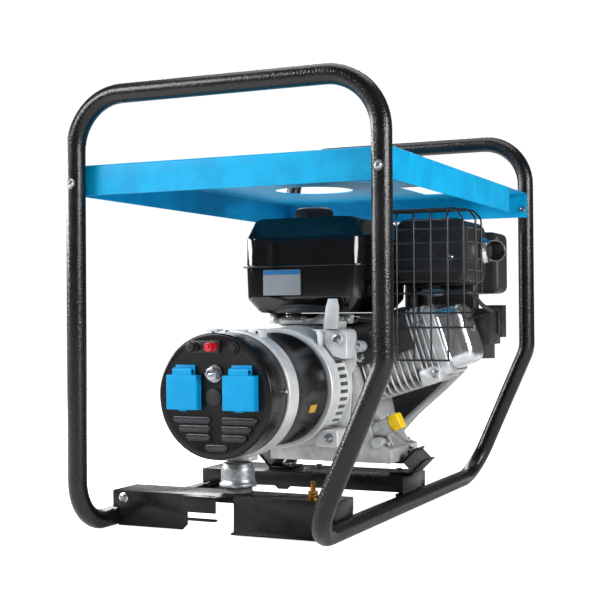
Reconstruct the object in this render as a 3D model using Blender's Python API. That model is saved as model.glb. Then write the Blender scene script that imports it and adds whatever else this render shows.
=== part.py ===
"""Open-frame portable generator, built as an assembly of separate solids.

The tube frame stands on its two bottom rails. The set lies along Y inside it: the alternator at the
front (-Y) and the engine behind it, with the cylinder leaning over towards +X.
The origin is on the ground, midway between the two hoops and midway between the posts.
Sizes are in metres, +Z is up.
"""
import math

import bmesh
import bpy
from mathutils import Matrix, Vector

# ---- fits -----------------------------------------------------------------------------------------
GAP = 0.0003                 # between two pieces that touch
RUN = 0.0010                 # between a turning piece and what surrounds it
BOLT_CLEARANCE = 0.0004      # round a bolt in its hole
SHARP_ANGLE = math.radians(35.0)

# ---- tube frame -----------------------------------------------------------------------------------
TUBE_OD = 0.028
TUBE_WALL = 0.002
TUBE_SIDES = 12
HOOP_SPACING = 0.749         # centre to centre, along Y
POST_SPACING = 0.469         # centre to centre, along X
TOP_RAIL_Z = 0.6283          # centre of the top rails
TOP_CORNER_RADIUS = 0.078
FOOT_BEND_RADIUS = 0.064
KNEE_Z = 0.2475              # where the right legs turn inwards
KNEE_RADIUS = 0.060
RIGHT_RAIL_INSET = 0.1037    # how far the right rail lies inside the right posts
HOOP_STUB = 0.008            # straight end of a hoop behind its foot bend
TUBE_R = TUBE_OD / 2
HOOP_Y = HOOP_SPACING / 2
POST_X = POST_SPACING / 2
RAIL_Z = TUBE_R
LEFT_RAIL_X = -POST_X
RIGHT_RAIL_X = POST_X - RIGHT_RAIL_INSET
RAIL_END_Y = HOOP_Y - FOOT_BEND_RADIUS - HOOP_STUB - GAP

# ---- crossmembers ---------------------------------------------------------------------------------
SHEET = 0.003                # folded steel of the crossmembers
CROSS_TOP_Z = 0.054
GROUND_CLEARANCE = 0.002
FRONT_CROSS_Y = -0.290       # front face of the front crossmember
FRONT_CROSS_DEPTH = 0.066
TONGUE_X = (-0.103, -0.048)
TONGUE_REACH = 0.016
TONGUE_DROP = 0.023
RIGHT_FLANGE_X = -0.025      # where the right half of the front flange starts
LIP_REACH = 0.009
REAR_CROSS_Y = (-0.014, 0.095)
REAR_CROSS_DROP = 0.023
CROSS_REAR_DROP = 0.020

# ---- top cover ------------------------------------------------------------------------------------
COVER_SHEET = 0.002
COVER_TOP_Z = 0.532
COVER_DROP = 0.044
COVER_HALF_X = 0.2430
SIDE_LIP_END_Y = 0.225       # the right lip stops here
CAP_HOLE_RADIUS = 0.069
HEAT_CUTOUT = (0.070, 0.160, 0.140, 0.290)   # x from, x to, y from, y to
SLOT_COLUMNS = 5
SLOT_ROWS = 4
SLOT_SIZE = (0.022, 0.008)
SLOT_PITCH = (0.032, 0.036)
SLOT_CENTRE = (0.118, 0.045)
COVER_BOLT_Z = 0.503
EARTH_X = 0.085              # brass earth terminal on the front crossmember
EARTH_Y = -0.262
BOLT_R = 0.003
BOLT_HEAD_R = 0.0062
BOLT_HEAD = 0.005
NUT_AF = 0.010
COVER_Y = HOOP_Y - TUBE_R - GAP              # outer face of the cover's end lips

# ---- crank line -----------------------------------------------------------------------------------
CRANK_X = -0.050
CRANK_Z = 0.1976
CRANK = (CRANK_X, CRANK_Z)
CYLINDER_TILT = math.radians(18.0)

# ---- alternator -----------------------------------------------------------------------------------
PANEL_Y = -0.303             # outer face of the control panel
DRUM_R = 0.091
DRUM_DEPTH = 0.0525
DRUM_WALL = 0.002
RING_R = 0.095
RING_LENGTH = 0.033
STATOR_R = 0.088
STATOR_BORE = 0.056
STATOR_LENGTH = 0.122
DRIVE_LENGTH = 0.074
DRIVE_BAND = 0.033           # plain band of the drive-end bracket
DRIVE_FLANGE = 0.007
DRIVE_FLANGE_HALF_X = 0.107
DRIVE_FLANGE_TOP = 0.0925
VENTS = 16
SHAFT_R = 0.0125
BEARING_R = 0.021
BEARING_WIDTH = 0.012
ROTOR_R = STATOR_BORE - RUN
ROTOR_LENGTH = 0.100
FAN_R = 0.072
FAN_WIDTH = 0.020
FAN_INSET = 0.030            # fan behind the front of the drive-end bracket
FAN_BLADES = 12
RING_Y = PANEL_Y + DRUM_DEPTH + GAP
STATOR_Y = RING_Y + RING_LENGTH + GAP
DRIVE_Y = STATOR_Y + STATOR_LENGTH + GAP
DRIVE_END_Y = DRIVE_Y + DRIVE_LENGTH
ROTOR_Y = STATOR_Y + (STATOR_LENGTH - ROTOR_LENGTH) / 2

# ---- control panel, places from the crank line ----------------------------------------------------
SOCKET_X = 0.0455
SOCKET_Z = 0.006
SOCKET_FLANGE = 0.050
SOCKET_BODY_R = 0.0215
SOCKET_RECESS_R = 0.0195
SOCKET_RECESS = 0.017
FLANGE_T = 0.003
LID_T = 0.0115
HINGE_RISE = 0.0310          # hinge axis above the middle of the lid
HINGE_R = 0.0050
HINGE_WIDTH = 0.031
DC_KNOB_PLACES = ((0.002, 0.071), (-0.028, 0.071))
DC_KNOB_R = 0.0070
DC_KNOB_LENGTH = 0.018
DC_BASE_T = 0.004
DC_STUD_R = 0.0025
BREAKER_PLACE = (0.032, 0.069)
BREAKER_RING_R = 0.0085
BREAKER_BUTTON_R = 0.0050
EARTH_STUD_PLACE = (0.002, 0.033)
PLUG_R = 0.013
LOUVRE_ROWS = ((-0.033, 0.063, 0.059), (-0.0455, 0.054, 0.050), (-0.058, 0.042, 0.042))
LOUVRE_SLIT = 0.003
LOUVRE_INNER = (-0.004, 0.011)
CENTRE_LOUVRE = (0.004, -0.0725, 0.038)

# ---- mounts between the set and the frame ---------------------------------------------------------
CUP_X = -0.042
CUP_R = 0.0275
CUP_TOP_R = 0.0215
CUP_TOP_Z = 0.0985
CUP_BOTTOM_Z = 0.0640
CUP_Y = -0.246
MOUNT_RUBBER_R = 0.0225
SANDWICH_TURN = math.radians(45.0)
SANDWICH_SIDE = 0.028
SANDWICH_THICK = 0.021
SANDWICH_PLATE = 0.003
SANDWICH_WIDTH = 0.046
SANDWICH_REACH = 0.023       # middle of a mount beyond the end of the engine foot
SANDWICH_Y = 0.045

# ---- engine ---------------------------------------------------------------------------------------
BASE_Z = 0.0765              # underside of the engine foot
FOOT_T = 0.026
FOOT_X = (-0.098, 0.112)
CASE_Y = (DRIVE_END_Y + GAP, 0.112)
CASE_R = 0.097
CASE_CAVITY_R = 0.066
CASE_WALL = 0.012
JOURNAL_R = 0.0175
THROW = 0.030
CRANKPIN_R = 0.016
WEB_R = 0.030
WEB_T = 0.014
CYLINDER_Y = 0.059           # middle of the bore, along Y
DECK = 0.104                 # crank line to the foot of the cylinder
BORE_R = 0.044
BARREL_R = 0.0505
FIN_HALF_Y = 0.0525
FIN_HALF_V = 0.062
FINS = 9
FIN_PITCH = 0.0105
FIN_T = 0.004
HEAD_START = 0.204
HEAD_LENGTH = 0.0440
COVER_START = HEAD_START + HEAD_LENGTH + GAP
VALVE_COVER_LENGTH = 0.043
VALVE_COVER_HALF_V = 0.056
VALVE_COVER_HALF_Y = 0.042
PISTON_R = BORE_R - 0.0005
PISTON_LENGTH = 0.040
PISTON_TOP = HEAD_START - 0.003
SHROUD_SHEET = 0.002
BLOWER_Y = (CASE_Y[1] + GAP, 0.190)
BLOWER_R = 0.112
BLOWER_WALL = 0.002
RECOIL_R = 0.098
RECOIL_DEPTH = 0.036
RECOIL_WALL = 0.002
RECOIL_SLOTS = 8
PULLEY_R = 0.050
PULLEY_WIDTH = 0.010
ROPE_R = 0.002
GRIP_R = 0.0115
GRIP_LENGTH = 0.098
FLYWHEEL_R = 0.086
FLYWHEEL_Y = (0.128, 0.158)
FAN_VANES = 12
FLYWHEEL_FAN_WIDTH = 0.018

# ---- tank, muffler, air cleaner -------------------------------------------------------------------
TANK_X = (-0.128, 0.077)
TANK_Y = (-0.060, 0.172)
TANK_Z = (0.3165, 0.470)
TANK_SEAM_Z = 0.392
TANK_SEAM_LIP = 0.006
TANK_WALL = 0.002
CAP_PLACE = (-0.077, 0.118)
NECK_R = 0.026
NECK_TOP_Z = 0.486
CAP_R = 0.034
CAP_HEIGHT = 0.022
MUFFLER_X = (0.088, 0.2135)
MUFFLER_Y = (0.065, 0.193)
MUFFLER_Z = (0.360, 0.470)
MUFFLER_CORNER = 0.026
MUFFLER_WALL = 0.002
OUTLET_R = 0.018
OUTLET_Z = 0.4185
OUTLET_Y = 0.165
OUTLET_END_X = 0.2480
OUTLET_BEVEL = 0.027         # how much longer the far side of the outlet is
ELBOW_PLACE = (0.1385, 0.085)
ELBOW_R = 0.013
GUARD_Y = -0.004             # front face of the guard
GUARD_WIRE = 0.003
GUARD_RETURN = 0.058
GUARD_STEP_Z = 0.3443        # the right face ends below this
GUARD_BARS = (0.0915, 0.1195, 0.1480, 0.1762, 0.2040, 0.2445)
GUARD_RAILS = (0.2400, 0.2917, 0.3145, 0.3458, 0.3647, 0.3813, 0.4001, 0.4254, 0.4472, 0.4800)
AIR_X = (0.112, 0.222)
AIR_Y = (0.228, 0.292)
AIR_Z = (0.346, 0.457)
CARB_X = (0.187, 0.233)
CARB_Y = (0.128, 0.196)
CARB_Z = (0.262, 0.322)
NECK_PLACE = (0.078, 0.000, 0.124)      # oil filler neck on the crankcase
LEAD_PLACE = (0.1345, 0.030)             # spark plug in the top of the head
NECK_TILT = math.radians(25.0)
FILLER_R = 0.0125
FUEL_TAP_PLACE = (0.105, 0.270)         # on the back of the blower housing, as (x, z)
SWITCH_PLACE = (0.105, 0.225)
FILLER_BORE = 0.0080
FILLER_LENGTH = 0.032

COLOURS = {
    "frame_black": ((0.018, 0.018, 0.020), 0.45, 0.0),
    "sheet_black": ((0.015, 0.015, 0.017), 0.40, 0.0),
    "cover_blue": ((0.000, 0.340, 0.760), 0.38, 0.0),
    "zinc": ((0.62, 0.63, 0.64), 0.30, 1.0),
    "brass": ((0.72, 0.52, 0.22), 0.30, 1.0),
    "cast_aluminium": ((0.60, 0.61, 0.62), 0.42, 1.0),
    "polished_aluminium": ((0.75, 0.76, 0.77), 0.22, 1.0),
    "gloss_black": ((0.010, 0.010, 0.012), 0.12, 0.0),
    "satin_black": ((0.020, 0.021, 0.023), 0.35, 0.0),
    "plastic_black": ((0.022, 0.022, 0.024), 0.48, 0.0),
    "plastic_grey": ((0.055, 0.058, 0.062), 0.50, 0.0),
    "plastic_blue": ((0.000, 0.330, 0.720), 0.42, 0.0),
    "plastic_yellow": ((0.860, 0.640, 0.010), 0.40, 0.0),
    "plastic_red": ((0.560, 0.015, 0.015), 0.35, 0.0),
    "rubber": ((0.020, 0.020, 0.020), 0.80, 0.0),
    "steel": ((0.42, 0.43, 0.44), 0.35, 1.0),
    "lamination": ((0.20, 0.19, 0.18), 0.50, 0.8),
    "muffler_grey": ((0.060, 0.060, 0.062), 0.55, 0.3),
}


# ---- building blocks ------------------------------------------------------------------------------
def clear_scene():
    """Remove whatever objects the file opened with."""
    for stray in list(bpy.data.objects):
        bpy.data.objects.remove(stray, do_unlink=True)


def material(look):
    """Return the Principled material of one finish, made the first time it is asked for."""
    if look in bpy.data.materials:
        return bpy.data.materials[look]
    colour, roughness, metallic = COLOURS[look]
    made = bpy.data.materials.new(look)
    made.use_nodes = True
    shader = made.node_tree.nodes["Principled BSDF"]
    shader.inputs["Base Color"].default_value = (*colour, 1.0)
    shader.inputs["Roughness"].default_value = roughness
    shader.inputs["Metallic"].default_value = metallic
    made.diffuse_color = (*colour, 1.0)
    return made


def across(axis, u, v, w):
    """Point at `w` along `axis`, with (u, v) in the plane square to it."""
    if axis == "X":
        return Vector((w, u, v))
    if axis == "Y":
        return Vector((u, w, v))
    return Vector((u, v, w))


def skin(rings, closed=False):
    """Close a stack of rings, each a list of points or a single pole point, into one solid."""
    bm = bmesh.new()
    made = [[bm.verts.new(point) for point in ring] for ring in rings]
    pairs = list(zip(made, made[1:]))
    if closed:
        pairs.append((made[-1], made[0]))
    for low, high in pairs:
        count = max(len(low), len(high))
        for step in range(count):
            after = (step + 1) % count
            corners = [low[step % len(low)], low[after % len(low)], high[after % len(high)],
                       high[step % len(high)]]
            bm.faces.new(list(dict.fromkeys(corners)))
    if not closed:
        for end in (made[0], made[-1]):
            if len(end) > 2:
                bm.faces.new(end)
    bmesh.ops.recalc_face_normals(bm, faces=bm.faces)
    return bm


def prism(axis, outline, start, end):
    """Solid with the given outline, from `start` to `end` along an axis."""
    return skin([[across(axis, u, v, w) for u, v in outline] for w in (start, end)])


def box(x, y, z):
    """Cuboid between pairs of coordinates."""
    outline = ((x[0], y[0]), (x[1], y[0]), (x[1], y[1]), (x[0], y[1]))
    return prism("Z", outline, z[0], z[1])


def circle(centre, radius, sides, turn=0.0):
    """Points of a regular polygon round a centre."""
    steps = [turn + 2 * math.pi * step / sides for step in range(sides)]
    return [(centre[0] + radius * math.cos(a), centre[1] + radius * math.sin(a)) for a in steps]


def rod(axis, centre, radius, start, end, sides=16, turn=0.0):
    """Round bar with its middle at `centre` in the plane square to the axis."""
    return prism(axis, circle(centre, radius, sides, turn), start, end)


def turned(axis, centre, profile, sides=24, ring=False):
    """Solid of revolution of (radius, position along the axis) points; a ring profile is closed."""
    rings = []
    for radius, w in profile:
        spots = circle(centre, radius, sides) if radius > 0 else [centre]
        rings.append([across(axis, u, v, w) for u, v in spots])
    return skin(rings, closed=ring)


def pipe_ring(axis, centre, outer, inner, start, end, sides=24):
    """Plain tube or washer."""
    profile = ((outer, start), (outer, end), (inner, end), (inner, start))
    return turned(axis, centre, profile, sides, ring=True)


def rounded(points, radii, steps):
    """Path through the points with each inner corner turned by its own bend radius."""
    points = [Vector(point) for point in points]
    path = [points[0]]
    for before, corner, after, radius in zip(points, points[1:], points[2:], radii):
        back = (before - corner).normalized()
        onward = (after - corner).normalized()
        half = back.angle(onward) / 2
        start = corner + back * radius / math.tan(half)
        finish = corner + onward * radius / math.tan(half)
        centre = corner + (back + onward).normalized() * radius / math.sin(half)
        axis = (start - centre).cross(finish - centre)
        for step in range(steps + 1):
            turn = Matrix.Rotation((math.pi - 2 * half) * step / steps, 3, axis)
            path.append(centre + turn @ (start - centre))
    path.append(points[-1])
    return path


def sweep(path, radius, sides, inner=0.0, turn=0.0):
    """Tube or bar along a path, with its section carried along without twist."""
    path = [Vector(point) for point in path]
    tangents = [(b - a).normalized() for a, b in zip(path, path[1:])]
    tangents = [tangents[0]] + [(a + b).normalized() for a, b in zip(tangents, tangents[1:])] + [tangents[-1]]
    side = tangents[0].orthogonal().normalized()
    if abs(tangents[0].z) < 0.9:
        side = Vector((0.0, 0.0, 1.0)).cross(tangents[0]).normalized()
    outer_rings = []
    inner_rings = []
    for index, (point, tangent) in enumerate(zip(path, tangents)):
        if index:
            side = tangents[index - 1].rotation_difference(tangent) @ side
        up = tangent.cross(side)
        for rings, reach in ((outer_rings, radius), (inner_rings, inner)):
            spots = circle((0.0, 0.0), reach, sides, turn)
            rings.append([point + side * u + up * v for u, v in spots])
    if inner:
        return skin(outer_rings + inner_rings[::-1], closed=True)
    return skin(outer_rings)


def leaning(bm):
    """Turn a shape drawn with the crank line at its origin to where the cylinder leans."""
    place = Matrix.Translation((CRANK_X, 0.0, CRANK_Z)) @ Matrix.Rotation(-CYLINDER_TILT, 4, "Y")
    bmesh.ops.transform(bm, matrix=place, verts=bm.verts)
    return bm


def lean_point(t, y, v):
    """World point from distance `t` along the cylinder, `y`, and `v` square to both."""
    along = Vector((math.cos(CYLINDER_TILT), 0.0, math.sin(CYLINDER_TILT)))
    up = Vector((-along.z, 0.0, along.x))
    return Vector((CRANK_X, y, CRANK_Z)) + along * t + up * v


def link(name, bm):
    """Put a closed shape in the scene as an object of its own."""
    mesh = bpy.data.meshes.new(name)
    bm.to_mesh(mesh)
    bm.free()
    made = bpy.data.objects.new(name, mesh)
    bpy.context.scene.collection.objects.link(made)
    return made


def node(name, look, bm, add=(), cut=(), origin=(0.0, 0.0, 0.0)):
    """Make one named piece: a base shape, with shapes fused to it and then cut from it."""
    piece = link(name, bm)
    for operation, shapes in (("UNION", add), ("DIFFERENCE", cut)):
        for number, shape in enumerate(shapes):
            tool = link(f"{name}.{operation.lower()}.{number}", shape)
            change = piece.modifiers.new(operation, "BOOLEAN")
            change.operation = operation
            change.object = tool
            view = bpy.context.evaluated_depsgraph_get()
            shaped = bpy.data.meshes.new_from_object(piece.evaluated_get(view))
            piece.modifiers.clear()
            piece.data = shaped
            bpy.data.objects.remove(tool, do_unlink=True)
    piece.data.name = name
    piece.data.transform(Matrix.Translation(-Vector(origin)))
    piece.location = origin
    piece.data.materials.clear()
    piece.data.materials.append(material(look))
    piece.data.shade_smooth()
    piece.data.set_sharp_from_angle(angle=SHARP_ANGLE)
    return piece


def panel_point(place):
    """Place on the control panel, from the crank line, as (x, z)."""
    return (CRANK_X + place[0], CRANK_Z + place[1])


# ---- frame ----------------------------------------------------------------------------------------
def build_hoops():
    """Front and rear hoops, each with a straight left leg and a right leg that turns inwards."""
    for name, side in (("front_hoop", -1.0), ("rear_hoop", 1.0)):
        y = side * HOOP_Y
        stub = side * (RAIL_END_Y + GAP)
        corners = (
            (LEFT_RAIL_X, stub, RAIL_Z), (LEFT_RAIL_X, y, RAIL_Z), (-POST_X, y, TOP_RAIL_Z),
            (POST_X, y, TOP_RAIL_Z), (POST_X, y, KNEE_Z), (RIGHT_RAIL_X, y, RAIL_Z),
            (RIGHT_RAIL_X, stub, RAIL_Z),
        )
        bends = (FOOT_BEND_RADIUS, TOP_CORNER_RADIUS, TOP_CORNER_RADIUS, KNEE_RADIUS, FOOT_BEND_RADIUS)
        tube = sweep(rounded(corners, bends, 4), TUBE_R, TUBE_SIDES, TUBE_R - TUBE_WALL)
        holes = [rod("Y", (x, COVER_BOLT_Z), BOLT_R + BOLT_CLEARANCE, y - TUBE_OD, y + TUBE_OD, 8)
                 for x in (-POST_X, POST_X)]
        node(name, "frame_black", tube, cut=holes)


def build_rails():
    """Bottom rails between the hoops; their lowest facet is flat on the ground."""
    half_side = math.pi / TUBE_SIDES
    outer = TUBE_R / math.cos(half_side)
    for name, x in (("left_rail", LEFT_RAIL_X), ("right_rail", RIGHT_RAIL_X)):
        path = ((x, -RAIL_END_Y, RAIL_Z), (x, RAIL_END_Y, RAIL_Z))
        node(name, "frame_black", sweep(path, outer, TUBE_SIDES, outer - TUBE_WALL, turn=half_side))


def cross_ends():
    """X of the crossmember ends, and of the two sides of the space between the rails."""
    return (LEFT_RAIL_X + 0.0045, LEFT_RAIL_X + TUBE_R + GAP, RIGHT_RAIL_X - TUBE_R - GAP, RIGHT_RAIL_X)


def build_front_crossmember():
    """Folded channel that carries the alternator, with a tongue and a gap in its front flange."""
    left, left_in, right_in, right = cross_ends()
    front = FRONT_CROSS_Y
    back = front + FRONT_CROSS_DEPTH
    over_rail = TUBE_OD + GAP
    gap_from = TONGUE_X[1]
    top = prism("Z", (
        (left, front), (TONGUE_X[0], front), (TONGUE_X[0], front - TONGUE_REACH),
        (gap_from, front - TONGUE_REACH), (gap_from + 0.012, front + 0.014),
        (RIGHT_FLANGE_X, front + 0.014), (RIGHT_FLANGE_X, front - 0.004), (right, front - 0.004),
        (right, back), (left, back)), CROSS_TOP_Z - SHEET, CROSS_TOP_Z)
    left_flange = prism("Y", (
        (left, CROSS_TOP_Z - 0.001), (left, over_rail), (left_in, over_rail),
        (left_in, GROUND_CLEARANCE), (TONGUE_X[0] - 0.008, GROUND_CLEARANCE),
        (TONGUE_X[0], GROUND_CLEARANCE + 0.008), (TONGUE_X[0], CROSS_TOP_Z - 0.001)), front, front + SHEET)
    tongue_y = front - TONGUE_REACH
    tongue = box(TONGUE_X, (tongue_y, tongue_y + SHEET), (CROSS_TOP_Z - TONGUE_DROP, CROSS_TOP_Z - 0.001))
    strip = box((TONGUE_X[0] - 0.001, TONGUE_X[1] - 0.006), (front - 0.006, front + SHEET), (0.017, 0.020))
    right_flange = prism("Y", (
        (RIGHT_FLANGE_X, CROSS_TOP_Z - 0.001), (RIGHT_FLANGE_X, GROUND_CLEARANCE),
        (right_in, GROUND_CLEARANCE), (right_in, over_rail), (right, over_rail),
        (right, CROSS_TOP_Z - 0.001)), front - 0.004, front - 0.004 + SHEET)
    lip = box((RIGHT_FLANGE_X, right_in), (front - 0.004 - LIP_REACH, front - 0.003),
              (GROUND_CLEARANCE, GROUND_CLEARANCE + SHEET))
    rear_flange = box((left, right), (back - SHEET, back),
                      (CROSS_TOP_Z - CROSS_REAR_DROP, CROSS_TOP_Z - 0.001))
    end = box((right - SHEET, right), (front - 0.003, back - 0.001), (over_rail, CROSS_TOP_Z - 0.001))
    slot = box((-0.0745, -0.0585), (front - 0.006, front - 0.002), (CROSS_TOP_Z - 0.01, CROSS_TOP_Z + 0.01))
    stud_hole = rod("Z", (EARTH_X, EARTH_Y), 0.004 + BOLT_CLEARANCE, 0.04, 0.07, 8)
    node("front_crossmember", "sheet_black", top,
         add=(left_flange, tongue, strip, right_flange, lip, rear_flange, end), cut=(slot, stud_hole))


def build_rear_crossmember():
    """Folded channel that carries the engine."""
    left, left_in, right_in, right = cross_ends()
    front, back = REAR_CROSS_Y
    over_rail = TUBE_OD + GAP
    low = CROSS_TOP_Z - REAR_CROSS_DROP
    top = box((left, right), (front, back), (CROSS_TOP_Z - SHEET, CROSS_TOP_Z))
    flanges = []
    for y in (front, back - SHEET):
        flanges.append(prism("Y", (
            (left, CROSS_TOP_Z - 0.001), (left, low), (-0.094, low), (-0.088, low - 0.005),
            (-0.072, low - 0.005), (-0.066, low), (right, low), (right, CROSS_TOP_Z - 0.001)), y, y + SHEET))
    feet = [box((x0, x1), (front + 0.001, back - 0.001), (over_rail, low + 0.002))
            for x0, x1 in ((left, left + SHEET), (right - SHEET, right))]
    ends = [box((x0, x1), (front + 0.001, back - 0.001), (low, CROSS_TOP_Z - 0.001))
            for x0, x1 in ((left, left + SHEET), (right - SHEET, right))]
    node("rear_crossmember", "sheet_black", top, add=(*flanges, *ends, *feet))


# ---- top cover ------------------------------------------------------------------------------------
def build_top_cover():
    """Sheet cover with turned-down lips, a hole over the fuel cap and slots over the muffler."""
    bottom = COVER_TOP_Z - COVER_DROP
    half_x = COVER_HALF_X
    shell = box((-half_x, half_x), (-COVER_Y, COVER_Y), (bottom, COVER_TOP_Z))
    inside = box((-half_x + COVER_SHEET, half_x - COVER_SHEET),
                 (-COVER_Y + COVER_SHEET, COVER_Y - COVER_SHEET),
                 (bottom - 0.01, COVER_TOP_Z - COVER_SHEET))
    notch = box((half_x - 0.010, half_x + 0.01), (SIDE_LIP_END_Y, COVER_Y - COVER_SHEET),
                (bottom - 0.01, COVER_TOP_Z - COVER_SHEET))
    cap_hole = rod("Z", CAP_PLACE, CAP_HOLE_RADIUS, bottom, COVER_TOP_Z + 0.01, 24)
    heat = box(HEAT_CUTOUT[:2], HEAT_CUTOUT[2:], (bottom, COVER_TOP_Z + 0.01))
    slots = []
    for column in range(SLOT_COLUMNS):
        for row in range(SLOT_ROWS):
            x = SLOT_CENTRE[0] + (column - (SLOT_COLUMNS - 1) / 2) * SLOT_PITCH[0]
            y = SLOT_CENTRE[1] + (row - (SLOT_ROWS - 1) / 2) * SLOT_PITCH[1]
            slots.append(box((x - SLOT_SIZE[0] / 2, x + SLOT_SIZE[0] / 2),
                             (y - SLOT_SIZE[1] / 2, y + SLOT_SIZE[1] / 2), (bottom, COVER_TOP_Z + 0.01)))
    holes = [rod("Y", (x, COVER_BOLT_Z), BOLT_R + BOLT_CLEARANCE, side * COVER_Y - 0.01,
                 side * COVER_Y + 0.01, 8)
             for x in (-POST_X, POST_X) for side in (-1.0, 1.0)]
    node("top_cover", "cover_blue", shell, cut=(inside, notch, cap_hole, heat, *slots, *holes))


def build_cover_bolts():
    """Bolts that clamp the cover's end lips to the posts, with the nut inside the lip."""
    for end, side in (("front", -1.0), ("rear", 1.0)):
        face = HOOP_Y + TUBE_R + GAP
        nut = COVER_Y - COVER_SHEET - GAP
        for hand, x in (("left", -POST_X), ("right", POST_X)):
            profile = ((0.0, side * (face + BOLT_HEAD)), (BOLT_HEAD_R * 0.7, side * (face + BOLT_HEAD * 0.8)),
                       (BOLT_HEAD_R, side * (face + BOLT_HEAD * 0.4)), (BOLT_HEAD_R, side * face),
                       (BOLT_R, side * face), (BOLT_R, side * nut), (NUT_AF * 0.58, side * nut),
                       (NUT_AF * 0.58, side * (nut - 0.005)), (0.0, side * (nut - 0.005)))
            bolt = turned("Y", (x, COVER_BOLT_Z), profile, 12)
            node(f"cover_bolt_{end}_{hand}", "zinc", bolt, origin=(x, side * face, COVER_BOLT_Z))


def build_earth_terminal():
    """Brass stud with a washer and a hex nut, through the front crossmember."""
    top = CROSS_TOP_Z + GAP
    low = CROSS_TOP_Z - SHEET - GAP
    profile = ((0.0, low - 0.006), (0.0065, low - 0.006), (0.0065, low), (0.004, low), (0.004, top),
               (0.0085, top), (0.0085, top + 0.0015), (0.0070, top + 0.0015), (0.0070, top + 0.009),
               (0.004, top + 0.009), (0.004, top + 0.024), (0.0, top + 0.024))
    node("earth_terminal", "brass", turned("Z", (EARTH_X, EARTH_Y), profile, 12))


# ---- mounts ---------------------------------------------------------------------------------------
def build_alternator_mount():
    """Rubber buffer and pressed cup under the alternator's rear bracket."""
    centre = (CUP_X, CUP_Y)
    rubber = rod("Z", centre, MOUNT_RUBBER_R, CROSS_TOP_Z + GAP, CUP_BOTTOM_Z + 0.004, 20)
    node("alternator_mount_rubber", "rubber", rubber)
    inner_z = CUP_BOTTOM_Z + 0.004 + GAP
    profile = ((CUP_R, CUP_BOTTOM_Z), (CUP_R, CUP_BOTTOM_Z + 0.004), (CUP_R - 0.0025, CUP_BOTTOM_Z + 0.007),
               (CUP_TOP_R, CUP_TOP_Z - 0.004), (CUP_TOP_R - 0.004, CUP_TOP_Z), (0.0, CUP_TOP_Z))
    under = ((0.0, inner_z), (MOUNT_RUBBER_R + GAP, inner_z), (MOUNT_RUBBER_R + GAP, CUP_BOTTOM_Z))
    node("alternator_mount_cup", "zinc", turned("Z", centre, under + profile, 20))


def build_engine_mounts():
    """Rubber sandwich mounts that lean outwards, between the rear crossmember and the engine foot."""
    low = CROSS_TOP_Z + GAP
    half = SANDWICH_SIDE / 2
    thick = SANDWICH_THICK / 2
    plate_half = half + SANDWICH_PLATE
    centre_z = low + 0.0004 + (plate_half + thick + SANDWICH_PLATE) * math.sin(SANDWICH_TURN)
    y = (SANDWICH_Y - SANDWICH_WIDTH / 2, SANDWICH_Y + SANDWICH_WIDTH / 2)
    tab_top = BASE_Z - GAP
    for hand, x, side in (("right", FOOT_X[1] + SANDWICH_REACH, 1.0),
                          ("left", FOOT_X[0] - SANDWICH_REACH, -1.0)):
        block = box((-half, half), y, (-thick, thick))
        plates = [box((-plate_half, plate_half), (y[0] - 0.003, y[1] + 0.003), levels)
                  for levels in ((-thick - SANDWICH_PLATE, -thick + 0.0005),
                                 (thick - 0.0005, thick + SANDWICH_PLATE))]
        place = Matrix.Translation((x, 0.0, centre_z)) @ Matrix.Rotation(-side * SANDWICH_TURN, 4, "Y")
        for shape in (block, *plates):
            bmesh.ops.transform(shape, matrix=place, verts=shape.verts)
        foot = box(sorted((x - side * 0.040, x + side * 0.001)), (y[0] - 0.002, y[1] + 0.002),
                   (low, low + 0.004))
        tab = box(sorted((x - side * 0.045, x - side * 0.0165)), (y[0] - 0.002, y[1] + 0.002),
                  (tab_top - 0.004, tab_top))
        node(f"engine_mount_{hand}", "rubber", block, add=(*plates, foot, tab))


# ---- alternator -----------------------------------------------------------------------------------


def build_panel_cover():
    """Round end cover of the alternator, which carries the sockets, terminals and louvres."""
    shell = turned("Y", CRANK, (
        (0.0, PANEL_Y), (DRUM_R - 0.003, PANEL_Y), (DRUM_R, PANEL_Y + 0.003), (DRUM_R, PANEL_Y + DRUM_DEPTH),
        (DRUM_R - DRUM_WALL, PANEL_Y + DRUM_DEPTH), (DRUM_R - DRUM_WALL, PANEL_Y + DRUM_WALL),
        (0.0, PANEL_Y + DRUM_WALL)), 32)
    near = PANEL_Y - 0.005
    far = PANEL_Y + 0.008
    cuts = [rod("Y", panel_point((side * SOCKET_X, SOCKET_Z)), SOCKET_BODY_R + GAP, near, far, 20)
            for side in (-1.0, 1.0)]
    cuts.append(rod("Y", panel_point(BREAKER_PLACE), 0.0060, near, far, 10))
    for place in DC_KNOB_PLACES + (EARTH_STUD_PLACE,):
        cuts.append(rod("Y", panel_point(place), 0.0045, near, far, 8))
    for z, left_length, right_length in LOUVRE_ROWS:
        for start, end in ((LOUVRE_INNER[0] - left_length, LOUVRE_INNER[0]),
                           (LOUVRE_INNER[1], LOUVRE_INNER[1] + right_length)):
            cuts.append(box((CRANK_X + start + 0.004, CRANK_X + end - 0.004), (near, far),
                            (CRANK_Z + z - LOUVRE_SLIT / 2, CRANK_Z + z + LOUVRE_SLIT / 2)))
    x, z, length = CENTRE_LOUVRE
    cuts.append(box((CRANK_X + x - length / 2 + 0.004, CRANK_X + x + length / 2 - 0.004), (near, far),
                    (CRANK_Z + z - LOUVRE_SLIT / 2, CRANK_Z + z + LOUVRE_SLIT / 2)))
    node("panel_cover", "satin_black", shell, cut=cuts)


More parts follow.
